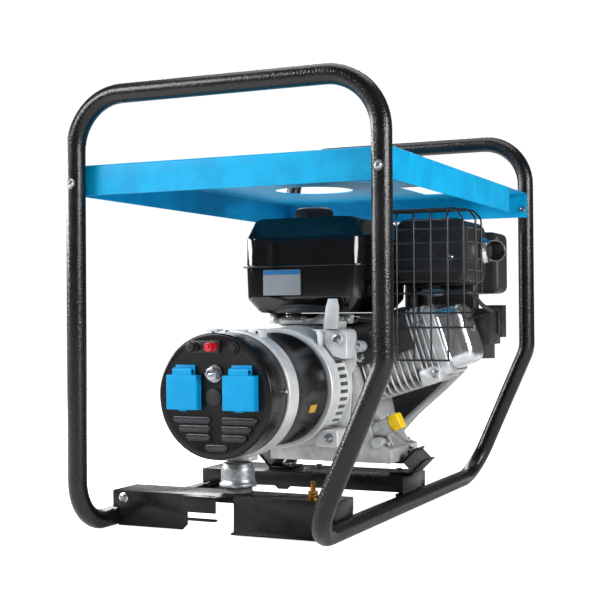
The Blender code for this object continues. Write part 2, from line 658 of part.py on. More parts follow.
def build_rear_bracket():
    """Cast ring between the panel cover and the stator, with the shaft bearing in its spider."""
    start, end = RING_Y, RING_Y + RING_LENGTH
    ring = pipe_ring("Y", CRANK, RING_R, STATOR_R - 0.005, start, end, 28)
    hub = pipe_ring("Y", CRANK, BEARING_R + 0.007, BEARING_R + GAP, start + 0.006, start + 0.024, 20)
    arms = []
    for turn in (45.0, 135.0, 225.0, 315.0):
        arm = box((BEARING_R + 0.004, STATOR_R - 0.002), (start + 0.008, start + 0.018), (-0.008, 0.008))
        place = Matrix.Translation((CRANK_X, 0.0, CRANK_Z)) @ Matrix.Rotation(math.radians(turn), 4, "Y")
        bmesh.ops.transform(arm, matrix=place, verts=arm.verts)
        arms.append(arm)
    lugs = [box((CRANK_X + x0, CRANK_X + x1), (start + 0.004, end - 0.006),
                (CRANK_Z + 0.075, CRANK_Z + 0.0955))
            for x0, x1 in ((-0.046, -0.026), (0.026, 0.046))]
    foot = box((CRANK_X - 0.030, CRANK_X + 0.030), (start + 0.002, end - 0.002),
               (CUP_TOP_Z + GAP, CRANK_Z - 0.084))
    cup_seat = box((CRANK_X - 0.06, CRANK_X + 0.06), (start - 0.01, end + 0.01),
                   (CUP_TOP_Z - 0.03, CUP_TOP_Z + GAP))
    node("rear_bracket", "cast_aluminium", ring, add=(hub, *arms, *lugs, foot), cut=(cup_seat,))


def build_stator():
    """Laminated stator pack in its painted skin."""
    node("stator", "gloss_black",
         pipe_ring("Y", CRANK, STATOR_R, STATOR_BORE, STATOR_Y, STATOR_Y + STATOR_LENGTH, 32))


def build_drive_bracket():
    """Cast bracket between the stator and the engine, with vents round its fan chamber."""
    start, end = DRIVE_Y, DRIVE_END_Y
    wall = 0.009
    band = rod("Y", CRANK, RING_R, start, end - 0.002, 32)
    half = DRIVE_FLANGE_HALF_X
    top = DRIVE_FLANGE_TOP
    outline = ((-half, top), (half, top), (half, 0.030), (0.098, -0.060), (0.060, -0.0945), (-0.060, -0.0945),
               (-0.098, -0.060), (-half, 0.030))
    flange = prism("Y", [(CRANK_X + x, CRANK_Z + z) for x, z in outline], end - DRIVE_FLANGE, end)
    lugs = [box((CRANK_X + x0, CRANK_X + x1), (start + 0.012, end - 0.001), (CRANK_Z + 0.060, CRANK_Z + top))
            for x0, x1 in ((-half, -0.055), (0.055, half))]
    feet = [box((CRANK_X + x0, CRANK_X + x1), (start + 0.014, end - 0.001),
                (CRANK_Z - 0.086, CRANK_Z - 0.066))
            for x0, x1 in ((-0.098, -0.056), (0.056, 0.098))]
    bore = turned("Y", CRANK, ((0.0, start - 0.01), (RING_R - wall, start - 0.01),
                               (RING_R - wall, end - DRIVE_FLANGE),
                               (0.078, end - DRIVE_FLANGE), (0.078, end + 0.01), (0.0, end + 0.01)), 32)
    vents = []
    for index in range(VENTS):
        angle = math.radians(-88.0 + 176.0 * (index // 2 + 0.5) / (VENTS / 2)) + math.pi * (index % 2)
        vent = box((0.080, 0.112), (start + DRIVE_BAND, end - DRIVE_FLANGE - 0.004), (-0.0085, 0.0085))
        place = Matrix.Translation((CRANK_X, 0.0, CRANK_Z)) @ Matrix.Rotation(-angle, 4, "Y")
        bmesh.ops.transform(vent, matrix=place, verts=vent.verts)
        if abs(math.sin(angle)) < 0.75:
            vents.append(vent)
        else:
            vent.free()
    node("drive_end_bracket", "cast_aluminium", band, add=(flange, *lugs, *feet), cut=(bore, *vents))


def vaned_outline(radius, hub, vanes):
    """Outline of a bladed wheel: each blade is a tooth on the hub, from the wheel's own centre."""
    outline = []
    for index in range(vanes):
        start = 2 * math.pi * index / vanes
        for reach, share in ((hub, 0.0), (radius, 0.08), (radius, 0.26), (hub, 0.34)):
            angle = start + 2 * math.pi * share / vanes
            outline.append((CRANK_X + reach * math.cos(angle), CRANK_Z + reach * math.sin(angle)))
    return outline


def build_rotor():
    """Two-pole rotor and its cooling fan on the shaft that the crankshaft drives."""
    start = RING_Y + 0.006
    profile = ((0.0, start), (SHAFT_R - GAP, start), (SHAFT_R - GAP, ROTOR_Y), (ROTOR_R, ROTOR_Y),
               (ROTOR_R, ROTOR_Y + ROTOR_LENGTH), (0.019, ROTOR_Y + ROTOR_LENGTH),
               (0.019, DRIVE_END_Y - 0.012), (0.0, DRIVE_END_Y - 0.012))
    body = turned("Y", CRANK, profile, 24)
    slots = [box((CRANK_X + side * 0.054 - 0.014, CRANK_X + side * 0.054 + 0.014),
                 (ROTOR_Y - 0.01, ROTOR_Y + ROTOR_LENGTH + 0.01),
                 (CRANK_Z - 0.020, CRANK_Z + 0.020)) for side in (-1.0, 1.0)]
    fan_y = DRIVE_Y + FAN_INSET
    fan = prism("Y", vaned_outline(FAN_R, 0.030, FAN_BLADES), fan_y, fan_y + FAN_WIDTH)
    node("rotor", "lamination", body, add=(fan,), cut=slots, origin=(CRANK_X, ROTOR_Y, CRANK_Z))


def build_rear_bearing():
    """Ball bearing of the rotor's free end, as one ring."""
    start = RING_Y + 0.010
    node("rear_bearing", "steel", pipe_ring("Y", CRANK, BEARING_R, SHAFT_R + GAP, start,
                                            start + BEARING_WIDTH, 20))


def build_sockets():
    """Two flush mains sockets with sprung lids hinged at the top."""
    for hand, side in (("left", -1.0), ("right", 1.0)):
        x, z = panel_point((side * SOCKET_X, SOCKET_Z))
        half = SOCKET_FLANGE / 2
        back = PANEL_Y - GAP
        front = back - FLANGE_T
        tab = HINGE_WIDTH / 2
        tab_top = z + HINGE_RISE + HINGE_R + 0.003
        flange = prism("Y", ((x - half, z - half), (x + half, z - half), (x + half, z + half),
                             (x + tab, z + half),
                             (x + tab, tab_top), (x - tab, tab_top), (x - tab, z + half), (x - half,
                                                                                           z + half)),
                       front, back)
        body = rod("Y", (x, z), SOCKET_BODY_R - GAP, back - 0.001, PANEL_Y + 0.030, 20)
        recess = rod("Y", (x, z), SOCKET_RECESS_R, front - 0.01, front + SOCKET_RECESS, 20)
        pins = [rod("Y", (x + dx, z), 0.0026, front + SOCKET_RECESS - 0.001, PANEL_Y + 0.024, 8)
                for dx in (-0.0095, 0.0095)]
        node(f"socket_{hand}", "plastic_blue", flange, add=(body,), cut=(recess, *pins))
        hinge_y = front - GAP - HINGE_R - 0.0007
        hinge_z = z + HINGE_RISE
        lid_back = front - GAP
        lid = box((x - half, x + half), (lid_back - LID_T, lid_back), (z - half, z + half))
        barrel = rod("X", (hinge_y, hinge_z), HINGE_R, x - tab, x + tab, 12)
        neck = box((x - tab + 0.001, x + tab - 0.001), (hinge_y - HINGE_R + 0.001, hinge_y + HINGE_R - 0.002),
                   (z + half - 0.004, hinge_z))
        dish = box((x - half + 0.002, x + half - 0.002), (lid_back - LID_T + 0.003, lid_back + 0.01),
                   (z - half + 0.002, z + half - 0.005))
        node(f"socket_lid_{hand}", "plastic_blue", lid, add=(barrel, neck), cut=(dish,),
             origin=(x, hinge_y, hinge_z))


def build_dc_terminals():
    """Battery-charging posts: an insulating base with two studs, and a knob on each."""
    face = PANEL_Y - GAP
    left, right = DC_KNOB_PLACES[1], DC_KNOB_PLACES[0]
    base = box((CRANK_X + left[0] - 0.009, CRANK_X + right[0] + 0.009), (face - DC_BASE_T, face),
               (CRANK_Z + left[1] - 0.009, CRANK_Z + left[1] + 0.009))
    studs = [rod("Y", panel_point(place), DC_STUD_R, face - DC_BASE_T - 0.014, PANEL_Y + 0.012, 8)
             for place in DC_KNOB_PLACES]
    node("dc_terminal_base", "plastic_black", base, add=studs)
    start = face - DC_BASE_T - GAP
    for hand, place in zip(("red", "black"), DC_KNOB_PLACES):
        centre = panel_point(place)
        knob = turned("Y", centre, (
            (0.0, start - DC_KNOB_LENGTH), (DC_KNOB_R - 0.0015, start - DC_KNOB_LENGTH),
            (DC_KNOB_R, start - DC_KNOB_LENGTH + 0.0015), (DC_KNOB_R, start), (DC_STUD_R + RUN / 2, start),
            (DC_STUD_R + RUN / 2, start - 0.0150), (0.0, start - 0.0150)), 10)
        node(f"dc_knob_{hand}", "plastic_red" if hand == "red" else "plastic_black", knob,
             origin=(centre[0], start, centre[1]))


def build_breaker():
    """Push-to-reset breaker: a ring in the panel and a button that travels in it."""
    centre = panel_point(BREAKER_PLACE)
    face = PANEL_Y - GAP
    body = turned("Y", centre, (
        (0.0, PANEL_Y + 0.016), (BREAKER_BUTTON_R + GAP, PANEL_Y + 0.016), (BREAKER_BUTTON_R + GAP,
                                                                            face - 0.003),
        (BREAKER_RING_R, face - 0.003), (BREAKER_RING_R, face), (0.0057, face), (0.0057, PANEL_Y + 0.020),
        (0.0, PANEL_Y + 0.020)), 16)
    node("breaker_body", "plastic_black", body)
    front = face - 0.003 - 0.004
    button = rod("Y", centre, BREAKER_BUTTON_R, front, PANEL_Y + 0.012, 12)
    node("breaker_button", "plastic_black", button, origin=(centre[0], front, centre[1]))


def build_panel_fittings():
    """Earth screw and blanking plug of the control panel."""
    centre = panel_point(EARTH_STUD_PLACE)
    face = PANEL_Y - GAP
    stud = turned("Y", centre, (
        (0.0, face - 0.026), (0.0036, face - 0.026), (0.0036, face - 0.013), (0.0105, face - 0.013),
        (0.0105, face - 0.004), (0.0125, face - 0.004), (0.0125, face), (0.0036, face), (0.0036,
                                                                                         PANEL_Y + 0.010),
        (0.0, PANEL_Y + 0.010)), 12)
    node("earth_stud", "zinc", stud)
    plug_centre = panel_point((0.0, -0.001))
    plug = turned("Y", plug_centre, ((0.0, face - 0.0045), (PLUG_R - 0.002, face - 0.0040),
                                     (PLUG_R, face - 0.0015),
                                     (PLUG_R, face), (0.0, face)), 16)
    node("centre_plug", "rubber", plug)


# ---- engine ---------------------------------------------------------------------------------------
def case_outline():
    """Section of the crankcase: a round case on a wide foot, running out to the cylinder deck."""
    arc = []
    for step in range(9):
        angle = math.radians(100.0 + 135.0 * step / 8)
        arc.append((CRANK_X + CASE_R * math.cos(angle), CRANK_Z + CASE_R * math.sin(angle)))
    lean = Vector((math.cos(CYLINDER_TILT), math.sin(CYLINDER_TILT)))
    up = Vector((-lean.y, lean.x))
    deck_top = Vector(CRANK) + lean * DECK + up * 0.058
    deck_low = Vector(CRANK) + lean * DECK - up * 0.058
    foot_top = BASE_Z + FOOT_T
    return (*arc, (FOOT_X[0], foot_top), (FOOT_X[0], BASE_Z), (FOOT_X[1], BASE_Z),
            (FOOT_X[1], foot_top - 0.004),
            (FOOT_X[1] - 0.012, foot_top), (0.082, foot_top + 0.012), (0.072, 0.150), tuple(deck_low),
            tuple(deck_top))


def filler_frame():
    """Matrix that puts a shape drawn along +X onto the oil filler neck."""
    return Matrix.Translation(NECK_PLACE) @ Matrix.Rotation(-NECK_TILT, 4, "Y")


def build_crankcase():
    """Cast crankcase with its foot, oil filler neck, crank cavity and bearing bores."""
    body = prism("Y", case_outline(), *CASE_Y)
    neck = rod("X", (0.0, 0.0), FILLER_R, -0.030, FILLER_LENGTH, 16)
    bmesh.ops.transform(neck, matrix=filler_frame(), verts=neck.verts)
    bore = rod("X", (0.0, 0.0), FILLER_BORE, -0.090, FILLER_LENGTH + 0.02, 12)
    bmesh.ops.transform(bore, matrix=filler_frame(), verts=bore.verts)
    inside = (CASE_Y[0] + CASE_WALL, CASE_Y[1] - CASE_WALL)
    cavity = rod("Y", CRANK, CASE_CAVITY_R, *inside, 24)
    crank_bore = rod("Y", CRANK, JOURNAL_R + RUN, CASE_Y[0] - 0.01, CASE_Y[1] + 0.01, 20)
    spigot = leaning(rod("X", (CYLINDER_Y, 0.0), BORE_R, 0.0, DECK + 0.02, 24))
    node("crankcase", "cast_aluminium", body, add=(neck,), cut=(cavity, crank_bore, spigot, bore))


def build_crankshaft():
    """Crankshaft along Y, with two webs and one crankpin."""
    start = DRIVE_END_Y - 0.012 + GAP
    end = BLOWER_Y[1] - 0.008
    shaft = rod("Y", CRANK, JOURNAL_R, start, CYLINDER_Y - 0.016, 20)
    tail = rod("Y", CRANK, JOURNAL_R, CYLINDER_Y + 0.016, end, 20)
    pin = rod("Y", (CRANK_X - THROW, CRANK_Z), CRANKPIN_R, CYLINDER_Y - 0.018, CYLINDER_Y + 0.018, 16)
    webs = []
    for y in (CYLINDER_Y - 0.013 - WEB_T, CYLINDER_Y + 0.013):
        outline = [(CRANK_X + 0.024 + WEB_R * math.cos(a), CRANK_Z + 0.042 * math.sin(a))
                   for a in (math.radians(-90.0 + 22.5 * step) for step in range(9))]
        outline += [(CRANK_X - THROW - 0.010, CRANK_Z + 0.018), (CRANK_X - THROW - 0.016, CRANK_Z),
                    (CRANK_X - THROW - 0.010, CRANK_Z - 0.018)]
        webs.append(prism("Y", outline, y, y + WEB_T))
    node("crankshaft", "steel", shaft, add=(webs[0], pin, webs[1], tail), origin=(CRANK_X, start, CRANK_Z))


def fin_outline(half_y, half_v, corner, top_corner):
    """Section of the cylinder or of one fin, as (y, v), with a larger corner at the top front."""
    y0, y1 = CYLINDER_Y - half_y, CYLINDER_Y + half_y
    return ((y0, -half_v + corner), (y0 + corner, -half_v), (y1 - corner, -half_v), (y1, -half_v + corner),
            (y1, half_v - corner), (y1 - corner, half_v), (y0 + top_corner, half_v), (y0,
                                                                                      half_v - top_corner))


def build_cylinder():
    """Finned cylinder that leans from the crankcase deck to the head."""
    start = DECK + GAP
    core = fin_outline(BARREL_R, BARREL_R, 0.020, 0.020)
    fin = fin_outline(FIN_HALF_Y, FIN_HALF_V, 0.012, 0.018)
    levels = [(start, core)]
    for index in range(FINS):
        t = start + 0.003 + index * FIN_PITCH
        levels += [(t, core), (t, fin), (t + FIN_T, fin), (t + FIN_T, core)]
    levels.append((HEAD_START - GAP, core))
    body = skin([[Vector((t, u, v)) for u, v in outline] for t, outline in levels])
    hollow = rod("X", (CYLINDER_Y, 0.0), BORE_R, start - 0.01, HEAD_START + 0.01, 24)
    node("cylinder", "cast_aluminium", leaning(body), cut=(leaning(hollow),))


def build_cylinder_head():
    """Cylinder head with the plug seat at its front and the ports at its back."""
    y = (CYLINDER_Y - FIN_HALF_Y, CYLINDER_Y + FIN_HALF_Y)
    block = leaning(prism("X", fin_outline(FIN_HALF_Y, FIN_HALF_V, 0.012, 0.012), HEAD_START,
                          HEAD_START + 0.018))
    neck = leaning(box((HEAD_START + 0.010, HEAD_START + HEAD_LENGTH),
                       (CYLINDER_Y - VALVE_COVER_HALF_Y, CYLINDER_Y + VALVE_COVER_HALF_Y),
                       (-VALVE_COVER_HALF_V + 0.002, VALVE_COVER_HALF_V - 0.002)))
    fin = leaning(box((HEAD_START + 0.026, HEAD_START + 0.030), y, (-FIN_HALF_V + 0.004, FIN_HALF_V - 0.004)))
    node("cylinder_head", "cast_aluminium", block, add=(neck, fin))


def build_valve_cover():
    """Pressed, polished valve cover, hollow over the rockers."""
    t0, t1 = COVER_START, COVER_START + VALVE_COVER_LENGTH
    y0, v0 = VALVE_COVER_HALF_Y, VALVE_COVER_HALF_V

    def outline(shrink):
        a, b, corner = y0 - shrink, v0 - shrink, 0.016
        spots = ((-a, -b + corner), (-a + corner, -b), (a - corner, -b), (a, -b + corner), (a, b - corner),
                 (a - corner, b), (-a + corner, b), (-a, b - corner))
        return [(CYLINDER_Y + u, v) for u, v in spots]

    stack = ((t0, 0.0), (t0 + 0.005, 0.0), (t0 + 0.006, 0.004), (t1 - 0.014, 0.005), (t1 - 0.004, 0.011),
             (t1, 0.018))
    outer = [[Vector((t, u, v)) for u, v in outline(shrink)] for t, shrink in stack]
    inner = [[Vector((t, u, v)) for u, v in outline(shrink)] for t,
             shrink in ((t0 - 0.01, 0.008), (t1 - 0.006, 0.014))]
    node("valve_cover", "polished_aluminium", leaning(skin(outer)), cut=(leaning(skin(inner)),))


def build_piston():
    """Piston with a hollow skirt, at the top of its stroke."""
    y = (CYLINDER_Y, 0.0)
    crown = PISTON_TOP
    low = crown - PISTON_LENGTH
    body = turned("X", y, ((0.0, crown - 0.008), (PISTON_R - 0.006, crown - 0.008), (PISTON_R - 0.006, low),
                           (PISTON_R, low), (PISTON_R, crown), (0.0, crown)), 24)
    node("piston", "cast_aluminium", leaning(body), origin=tuple(lean_point(low, CYLINDER_Y, 0.0)))


def build_cylinder_shroud():
    """Sheet shroud over the top and the upper front of the cylinder."""
    front = CYLINDER_Y - FIN_HALF_Y - GAP - SHROUD_SHEET - 0.001
    back = CASE_Y[1] - 0.002
    top = FIN_HALF_V + 0.004
    s = SHROUD_SHEET
    profile = ((front, -0.002), (front + s, -0.002), (front + s, top - 0.012), (front + 0.012 + s, top),
               (back, top), (back, top + s), (front + 0.011, top + s), (front, top - 0.010))
    t0, t1 = DECK + 0.001, HEAD_START - 0.001
    node("cylinder_shroud", "plastic_grey", leaning(prism("X", profile, t0, t1)))


def blower_outline(shrink=0.0):
    """Volute outline round the flywheel, running out under the cylinder."""
    spots = []
    radius = BLOWER_R - shrink
    for step in range(13):
        angle = math.radians(90.0 + 180.0 * step / 12)
        spots.append((CRANK_X + radius * math.cos(angle), CRANK_Z + radius * math.sin(angle)))
    arm = ((0.022, 0.0915), (0.060, 0.107), (0.090, 0.139), (0.139, 0.182), (0.172, 0.214), (0.178, 0.275),
           (0.160, 0.3036))
    middle = Vector((0.03, 0.195))
    for x, z in arm:
        away = Vector((x, z)) - middle
        spots.append(tuple(middle + away * (1.0 - shrink / away.length)))
    return spots


def build_blower_housing():
    """Sheet housing round the flywheel fan, open towards the cylinder and the starter."""
    y0, y1 = BLOWER_Y
    outer = prism("Y", blower_outline(), y0, y1)
    inner = prism("Y", blower_outline(BLOWER_WALL), y0 + BLOWER_WALL, y1 - BLOWER_WALL)
    front_hole = rod("Y", CRANK, 0.040, y0 - 0.01, y0 + 0.01, 24)
    rear_hole = rod("Y", CRANK, RECOIL_R - 0.010, y1 - 0.01, y1 + 0.01, 28)
    duct = leaning(box((DECK + 0.008, 0.200), (y0 - 0.01, y0 + 0.01), (-0.034, 0.034)))
    node("blower_housing", "satin_black", outer, cut=(inner, front_hole, rear_hole, duct))


def build_flywheel():
    """Flywheel with its cooling vanes, on the tail of the crankshaft."""
    y0, y1 = FLYWHEEL_Y
    wheel = turned("Y", CRANK, ((JOURNAL_R + GAP, y0), (0.070, y0), (0.080, y0 + 0.006),
                                (FLYWHEEL_R, y0 + 0.008),
                                (FLYWHEEL_R, y1), (JOURNAL_R + GAP, y1)), 32, ring=True)
    vanes = prism("Y", vaned_outline(FLYWHEEL_R - 0.002, 0.050, FAN_VANES), y1 - 0.001,
                  y1 + FLYWHEEL_FAN_WIDTH)
    bore = rod("Y", CRANK, JOURNAL_R + GAP, y1 - 0.01, y1 + FLYWHEEL_FAN_WIDTH + 0.01, 32)
    node("flywheel", "steel", wheel, add=(vanes,), cut=(bore,), origin=(CRANK_X, y0, CRANK_Z))


def build_recoil_starter():
    """Recoil starter: a domed cover, a rope pulley, and a grip on a rope that leaves to the left."""
    y0 = BLOWER_Y[1] + GAP
    y1 = y0 + RECOIL_DEPTH
    w = RECOIL_WALL
    cover = turned("Y", CRANK, ((0.0, y1 - w), (RECOIL_R - 0.0085, y1 - w), (RECOIL_R - w, y1 - 0.006),
                                (RECOIL_R - w, y0), (RECOIL_R, y0), (RECOIL_R, y1 - 0.0055),
                                (RECOIL_R - 0.0075, y1), (0.0, y1)), 28)
    hub = rod("Y", CRANK, 0.009, y1 - 0.020, y1 - 0.001, 16)
    slots = []
    for index in range(RECOIL_SLOTS):
        slot = box((0.058, 0.078), (y1 - 0.01, y1 + 0.01), (-0.006, 0.006))
        turn = Matrix.Rotation(2 * math.pi * index / RECOIL_SLOTS, 4, "Y")
        bmesh.ops.transform(slot, matrix=Matrix.Translation((CRANK_X, 0.0, CRANK_Z)) @ turn, verts=slot.verts)
        slots.append(slot)
    pulley_y = y1 - 0.016
    rope_z = CRANK_Z + PULLEY_R - 0.004
    rope_y = pulley_y + PULLEY_WIDTH / 2
    wall_x = CRANK_X - RECOIL_R
    eye = rod("X", (rope_y, rope_z), ROPE_R + 0.002, wall_x - 0.02, CRANK_X - 0.06, 10)
    node("recoil_cover", "satin_black", cover, add=(hub,), cut=(*slots, eye))
    flange = PULLEY_R - 0.001
    groove = PULLEY_R - 0.004 - ROPE_R - 0.0006
    pulley = turned("Y", CRANK, (
        (0.009 + RUN / 2, pulley_y), (flange, pulley_y), (flange, pulley_y + 0.0018), (groove,
                                                                                       pulley_y + 0.0022),
        (groove, pulley_y + PULLEY_WIDTH - 0.0022), (flange, pulley_y + PULLEY_WIDTH - 0.0018),
        (flange, pulley_y + PULLEY_WIDTH), (0.009 + RUN / 2, pulley_y + PULLEY_WIDTH)), 28, ring=True)
    node("recoil_pulley", "plastic_black", pulley, origin=(CRANK_X, pulley_y, CRANK_Z))
    grip_x = wall_x - GRIP_R - 0.004
    rope = rod("X", (rope_y, rope_z), ROPE_R, grip_x, CRANK_X - 0.004, 8)
    grip = turned("Z", (grip_x, rope_y), (
        (0.0, rope_z - GRIP_LENGTH / 2), (GRIP_R * 0.8, rope_z - GRIP_LENGTH / 2 + 0.001),
        (GRIP_R, rope_z - GRIP_LENGTH / 2 + 0.008), (GRIP_R * 0.86, rope_z), (GRIP_R,
                                                                              rope_z + GRIP_LENGTH / 2 - 0.008),
        (GRIP_R * 0.8, rope_z + GRIP_LENGTH / 2 - 0.001), (0.0, rope_z + GRIP_LENGTH / 2)), 14)
    node("recoil_handle", "plastic_black", grip, add=(rope,), origin=(grip_x, rope_y, rope_z))


def build_fuel_tank():
    """Pressed two-shell tank with a seam flange, hollow, with a filler neck."""
    x0, x1 = TANK_X
    z0, z1 = TANK_Z
    seam = TANK_SEAM_Z

    def outline(inset):
        return ((x0 + 0.024 + inset, z0 + 0.008 + inset), (x0 + 0.076, z0 + inset), (x1 - 0.030, z0 + inset),
                (x1 - inset, z0 + 0.030), (x1 - inset, z1 - 0.018), (x1 - 0.016, z1 - inset),
                (x0 + 0.036, z1 - inset), (x0 + 0.009 + inset, z1 - 0.026), (x0 + inset,
                                                                             seam), (x0 + 0.010 + inset,
                                                                                     z0 + 0.026))

    body = prism("Y", outline(0.0), *TANK_Y)
    lip = box((x0 - TANK_SEAM_LIP, x1 + TANK_SEAM_LIP),
              (TANK_Y[0] - TANK_SEAM_LIP, TANK_Y[1] + TANK_SEAM_LIP),
              (seam - 0.0015, seam + 0.0015))
    neck = rod("Z", CAP_PLACE, NECK_R, z1 - 0.006, NECK_TOP_Z, 24)
    hollow = prism("Y", outline(TANK_WALL), TANK_Y[0] + TANK_WALL, TANK_Y[1] - TANK_WALL)
    mouth = rod("Z", CAP_PLACE, NECK_R - TANK_WALL, z1 - 0.02, NECK_TOP_Z + 0.01, 24)
    node("fuel_tank", "gloss_black", body, add=(lip, neck), cut=(hollow, mouth))
    low = NECK_TOP_Z - 0.008
    cap = turned("Z", CAP_PLACE, (
        (0.0, NECK_TOP_Z + GAP), (NECK_R + 0.001, NECK_TOP_Z + GAP), (NECK_R + 0.001, low), (CAP_R, low),
        (CAP_R, low + CAP_HEIGHT - 0.003), (CAP_R - 0.004, low + CAP_HEIGHT), (0.0, low + CAP_HEIGHT)), 24)
    node("fuel_cap", "plastic_black", cap, origin=(*CAP_PLACE, low))


def build_tank_supports():
    """Stamped bracket and cast arm that carry the front of the tank on the crankcase."""
    low = CRANK_Z + CASE_R + GAP
    plate_y = (-0.010, 0.040)
    bracket = prism("Y", ((-0.104, TANK_Z[0] + 0.006 - GAP), (-0.104, TANK_Z[0] - 0.012), (-0.080, low),
                          (-0.034, low),
                          (-0.034, low + 0.004), (-0.076, low + 0.004), (-0.096, TANK_Z[0] - 0.008),
                          (-0.096, TANK_Z[0] + 0.003 - GAP)), *plate_y)
    node("tank_bracket", "cast_aluminium", bracket)
    arm_y = (-0.0740, -0.0665)
    seat = DRIVE_FLANGE_TOP + CRANK_Z + GAP
    arm = prism("Y", ((0.021, seat), (0.044, seat), (0.046, seat + 0.035), (0.043, seat + 0.048),
                      (0.030, seat + 0.048),
                      (0.026, seat + 0.035)), *arm_y)
    foot = box((0.022, 0.043), (arm_y[0] + 0.001, -0.030), (seat, seat + 0.012))
    node("tank_arm", "cast_aluminium", arm, add=(foot,))


def build_exhaust():
    """Box muffler with its inlet elbow, and the oblique outlet on its right side."""
    x0, x1 = MUFFLER_X
    z0, z1 = MUFFLER_Z

    def outline(inset):
        r = MUFFLER_CORNER - inset
        a, b, c, d = x0 + inset, x1 - inset, z0 + inset, z1 - inset
        spots = [(a, c + 0.008), (a + 0.008, c), (b - 0.010, c), (b, c + 0.010)]
        for step in range(6):
            angle = math.radians(18.0 * step)
            spots.append((b - r + r * math.cos(angle), d - r + r * math.sin(angle)))
        return spots + [(a + 0.010, d), (a, d - 0.010)]

    body = prism("Y", outline(0.0), *MUFFLER_Y)
    hollow = prism("Y", outline(MUFFLER_WALL), MUFFLER_Y[0] + MUFFLER_WALL, MUFFLER_Y[1] - MUFFLER_WALL)
    elbow = rod("Z", ELBOW_PLACE, ELBOW_R, z0 - 0.055, z0 + 0.010, 16)
    under = leaning(box((0.05, 0.35), (0.0, 0.16), (-0.1, FIN_HALF_V + GAP)))
    pocket = rod("X", (OUTLET_Y, OUTLET_Z), OUTLET_R + GAP, x1 - 0.004, x1 + 0.01, 20)
    node("muffler", "muffler_grey", body, add=(elbow,), cut=(hollow, pocket, under))
    start = x1 - 0.004 + GAP
    tube = pipe_ring("X", (OUTLET_Y, OUTLET_Z), OUTLET_R, OUTLET_R - 0.0015, start, OUTLET_END_X, 24)
    collar = pipe_ring("X", (OUTLET_Y, OUTLET_Z), OUTLET_R + 0.006, OUTLET_R - 0.0005, x1 + GAP, x1 + 0.006,
                       24)
    slope = OUTLET_BEVEL / (2 * OUTLET_R)
    past = OUTLET_R + 0.010
    mouth = prism("Z", ((OUTLET_END_X + 0.010 * slope, OUTLET_Y + past),
                        (OUTLET_END_X + 0.05, OUTLET_Y + past),
                        (OUTLET_END_X + 0.05, OUTLET_Y - past), (OUTLET_END_X - (past + OUTLET_R) * slope,
                                                                 OUTLET_Y - past)),
                  OUTLET_Z - 0.04, OUTLET_Z + 0.04)
    node("exhaust_outlet", "polished_aluminium", tube, add=(collar,), cut=(mouth,))


def build_muffler_guard():
    """Wire guard in front of and beside the muffler, folded from one welded grille."""
    half = GUARD_WIRE / 2
    turn_x = GUARD_BARS[-1]
    columns = [x - half for x in GUARD_BARS] + [x + half for x in GUARD_BARS]
    side_bars = (turn_x + 0.030, turn_x + GUARD_RETURN)
    columns += [x - half for x in side_bars] + [x + half for x in side_bars]
    columns = sorted(columns)
    rows = sorted([z - half for z in GUARD_RAILS] + [z + half for z in GUARD_RAILS])
    bars = GUARD_BARS + side_bars
    bm = bmesh.new()
    verts = {}

    def vert(column, row, layer):
        key = (column, row, layer)
        if key not in verts:
            s, z = columns[column], rows[row]
            depth = half if layer else -half
            if s <= turn_x:
                place = (s, GUARD_Y - depth, z)
            elif s <= turn_x + half + 1e-9:
                place = (s + depth - half, GUARD_Y - depth, z)
            else:
                place = (turn_x + depth, GUARD_Y + s - turn_x, z)
            verts[key] = bm.verts.new(place)
        return verts[key]

    def solid(column, row):
        if not (0 <= column < len(columns) - 1 and 0 <= row < len(rows) - 1):
            return False
        s = (columns[column] + columns[column + 1]) / 2
        z = (rows[row] + rows[row + 1]) / 2
        on_bar = any(abs(s - bar) < half for bar in bars)
        on_rail = any(abs(z - rail) < half for rail in GUARD_RAILS)
        past_turn = s > GUARD_BARS[5] + half
        past_last_bar = s > GUARD_BARS[4] + half and z < GUARD_RAILS[1] - half
        if z < GUARD_STEP_Z and (past_turn or past_last_bar):
            return False
        if z < GUARD_RAILS[2] - half and s < GUARD_BARS[1] - half:
            return False
        return on_bar or on_rail

    for column in range(len(columns) - 1):
        for row in range(len(rows) - 1):
            if not solid(column, row):
                continue
            ring = ((column, row), (column + 1, row), (column + 1, row + 1), (column, row + 1))
            bm.faces.new([vert(c, r, 1) for c, r in ring])
            bm.faces.new([vert(c, r, 0) for c, r in reversed(ring)])
            for (dc, dr), a, b in (((0, -1), 0, 1), ((1, 0), 1, 2), ((0, 1), 2, 3), ((-1, 0), 3, 0)):
                if not solid(column + dc, row + dr):
                    low, high = ring[a], ring[b]
                    bm.faces.new([vert(*low, 0), vert(*high, 0), vert(*high, 1), vert(*low, 1)])
    bmesh.ops.recalc_face_normals(bm, faces=bm.faces)
    node("muffler_guard", "plastic_black", bm)


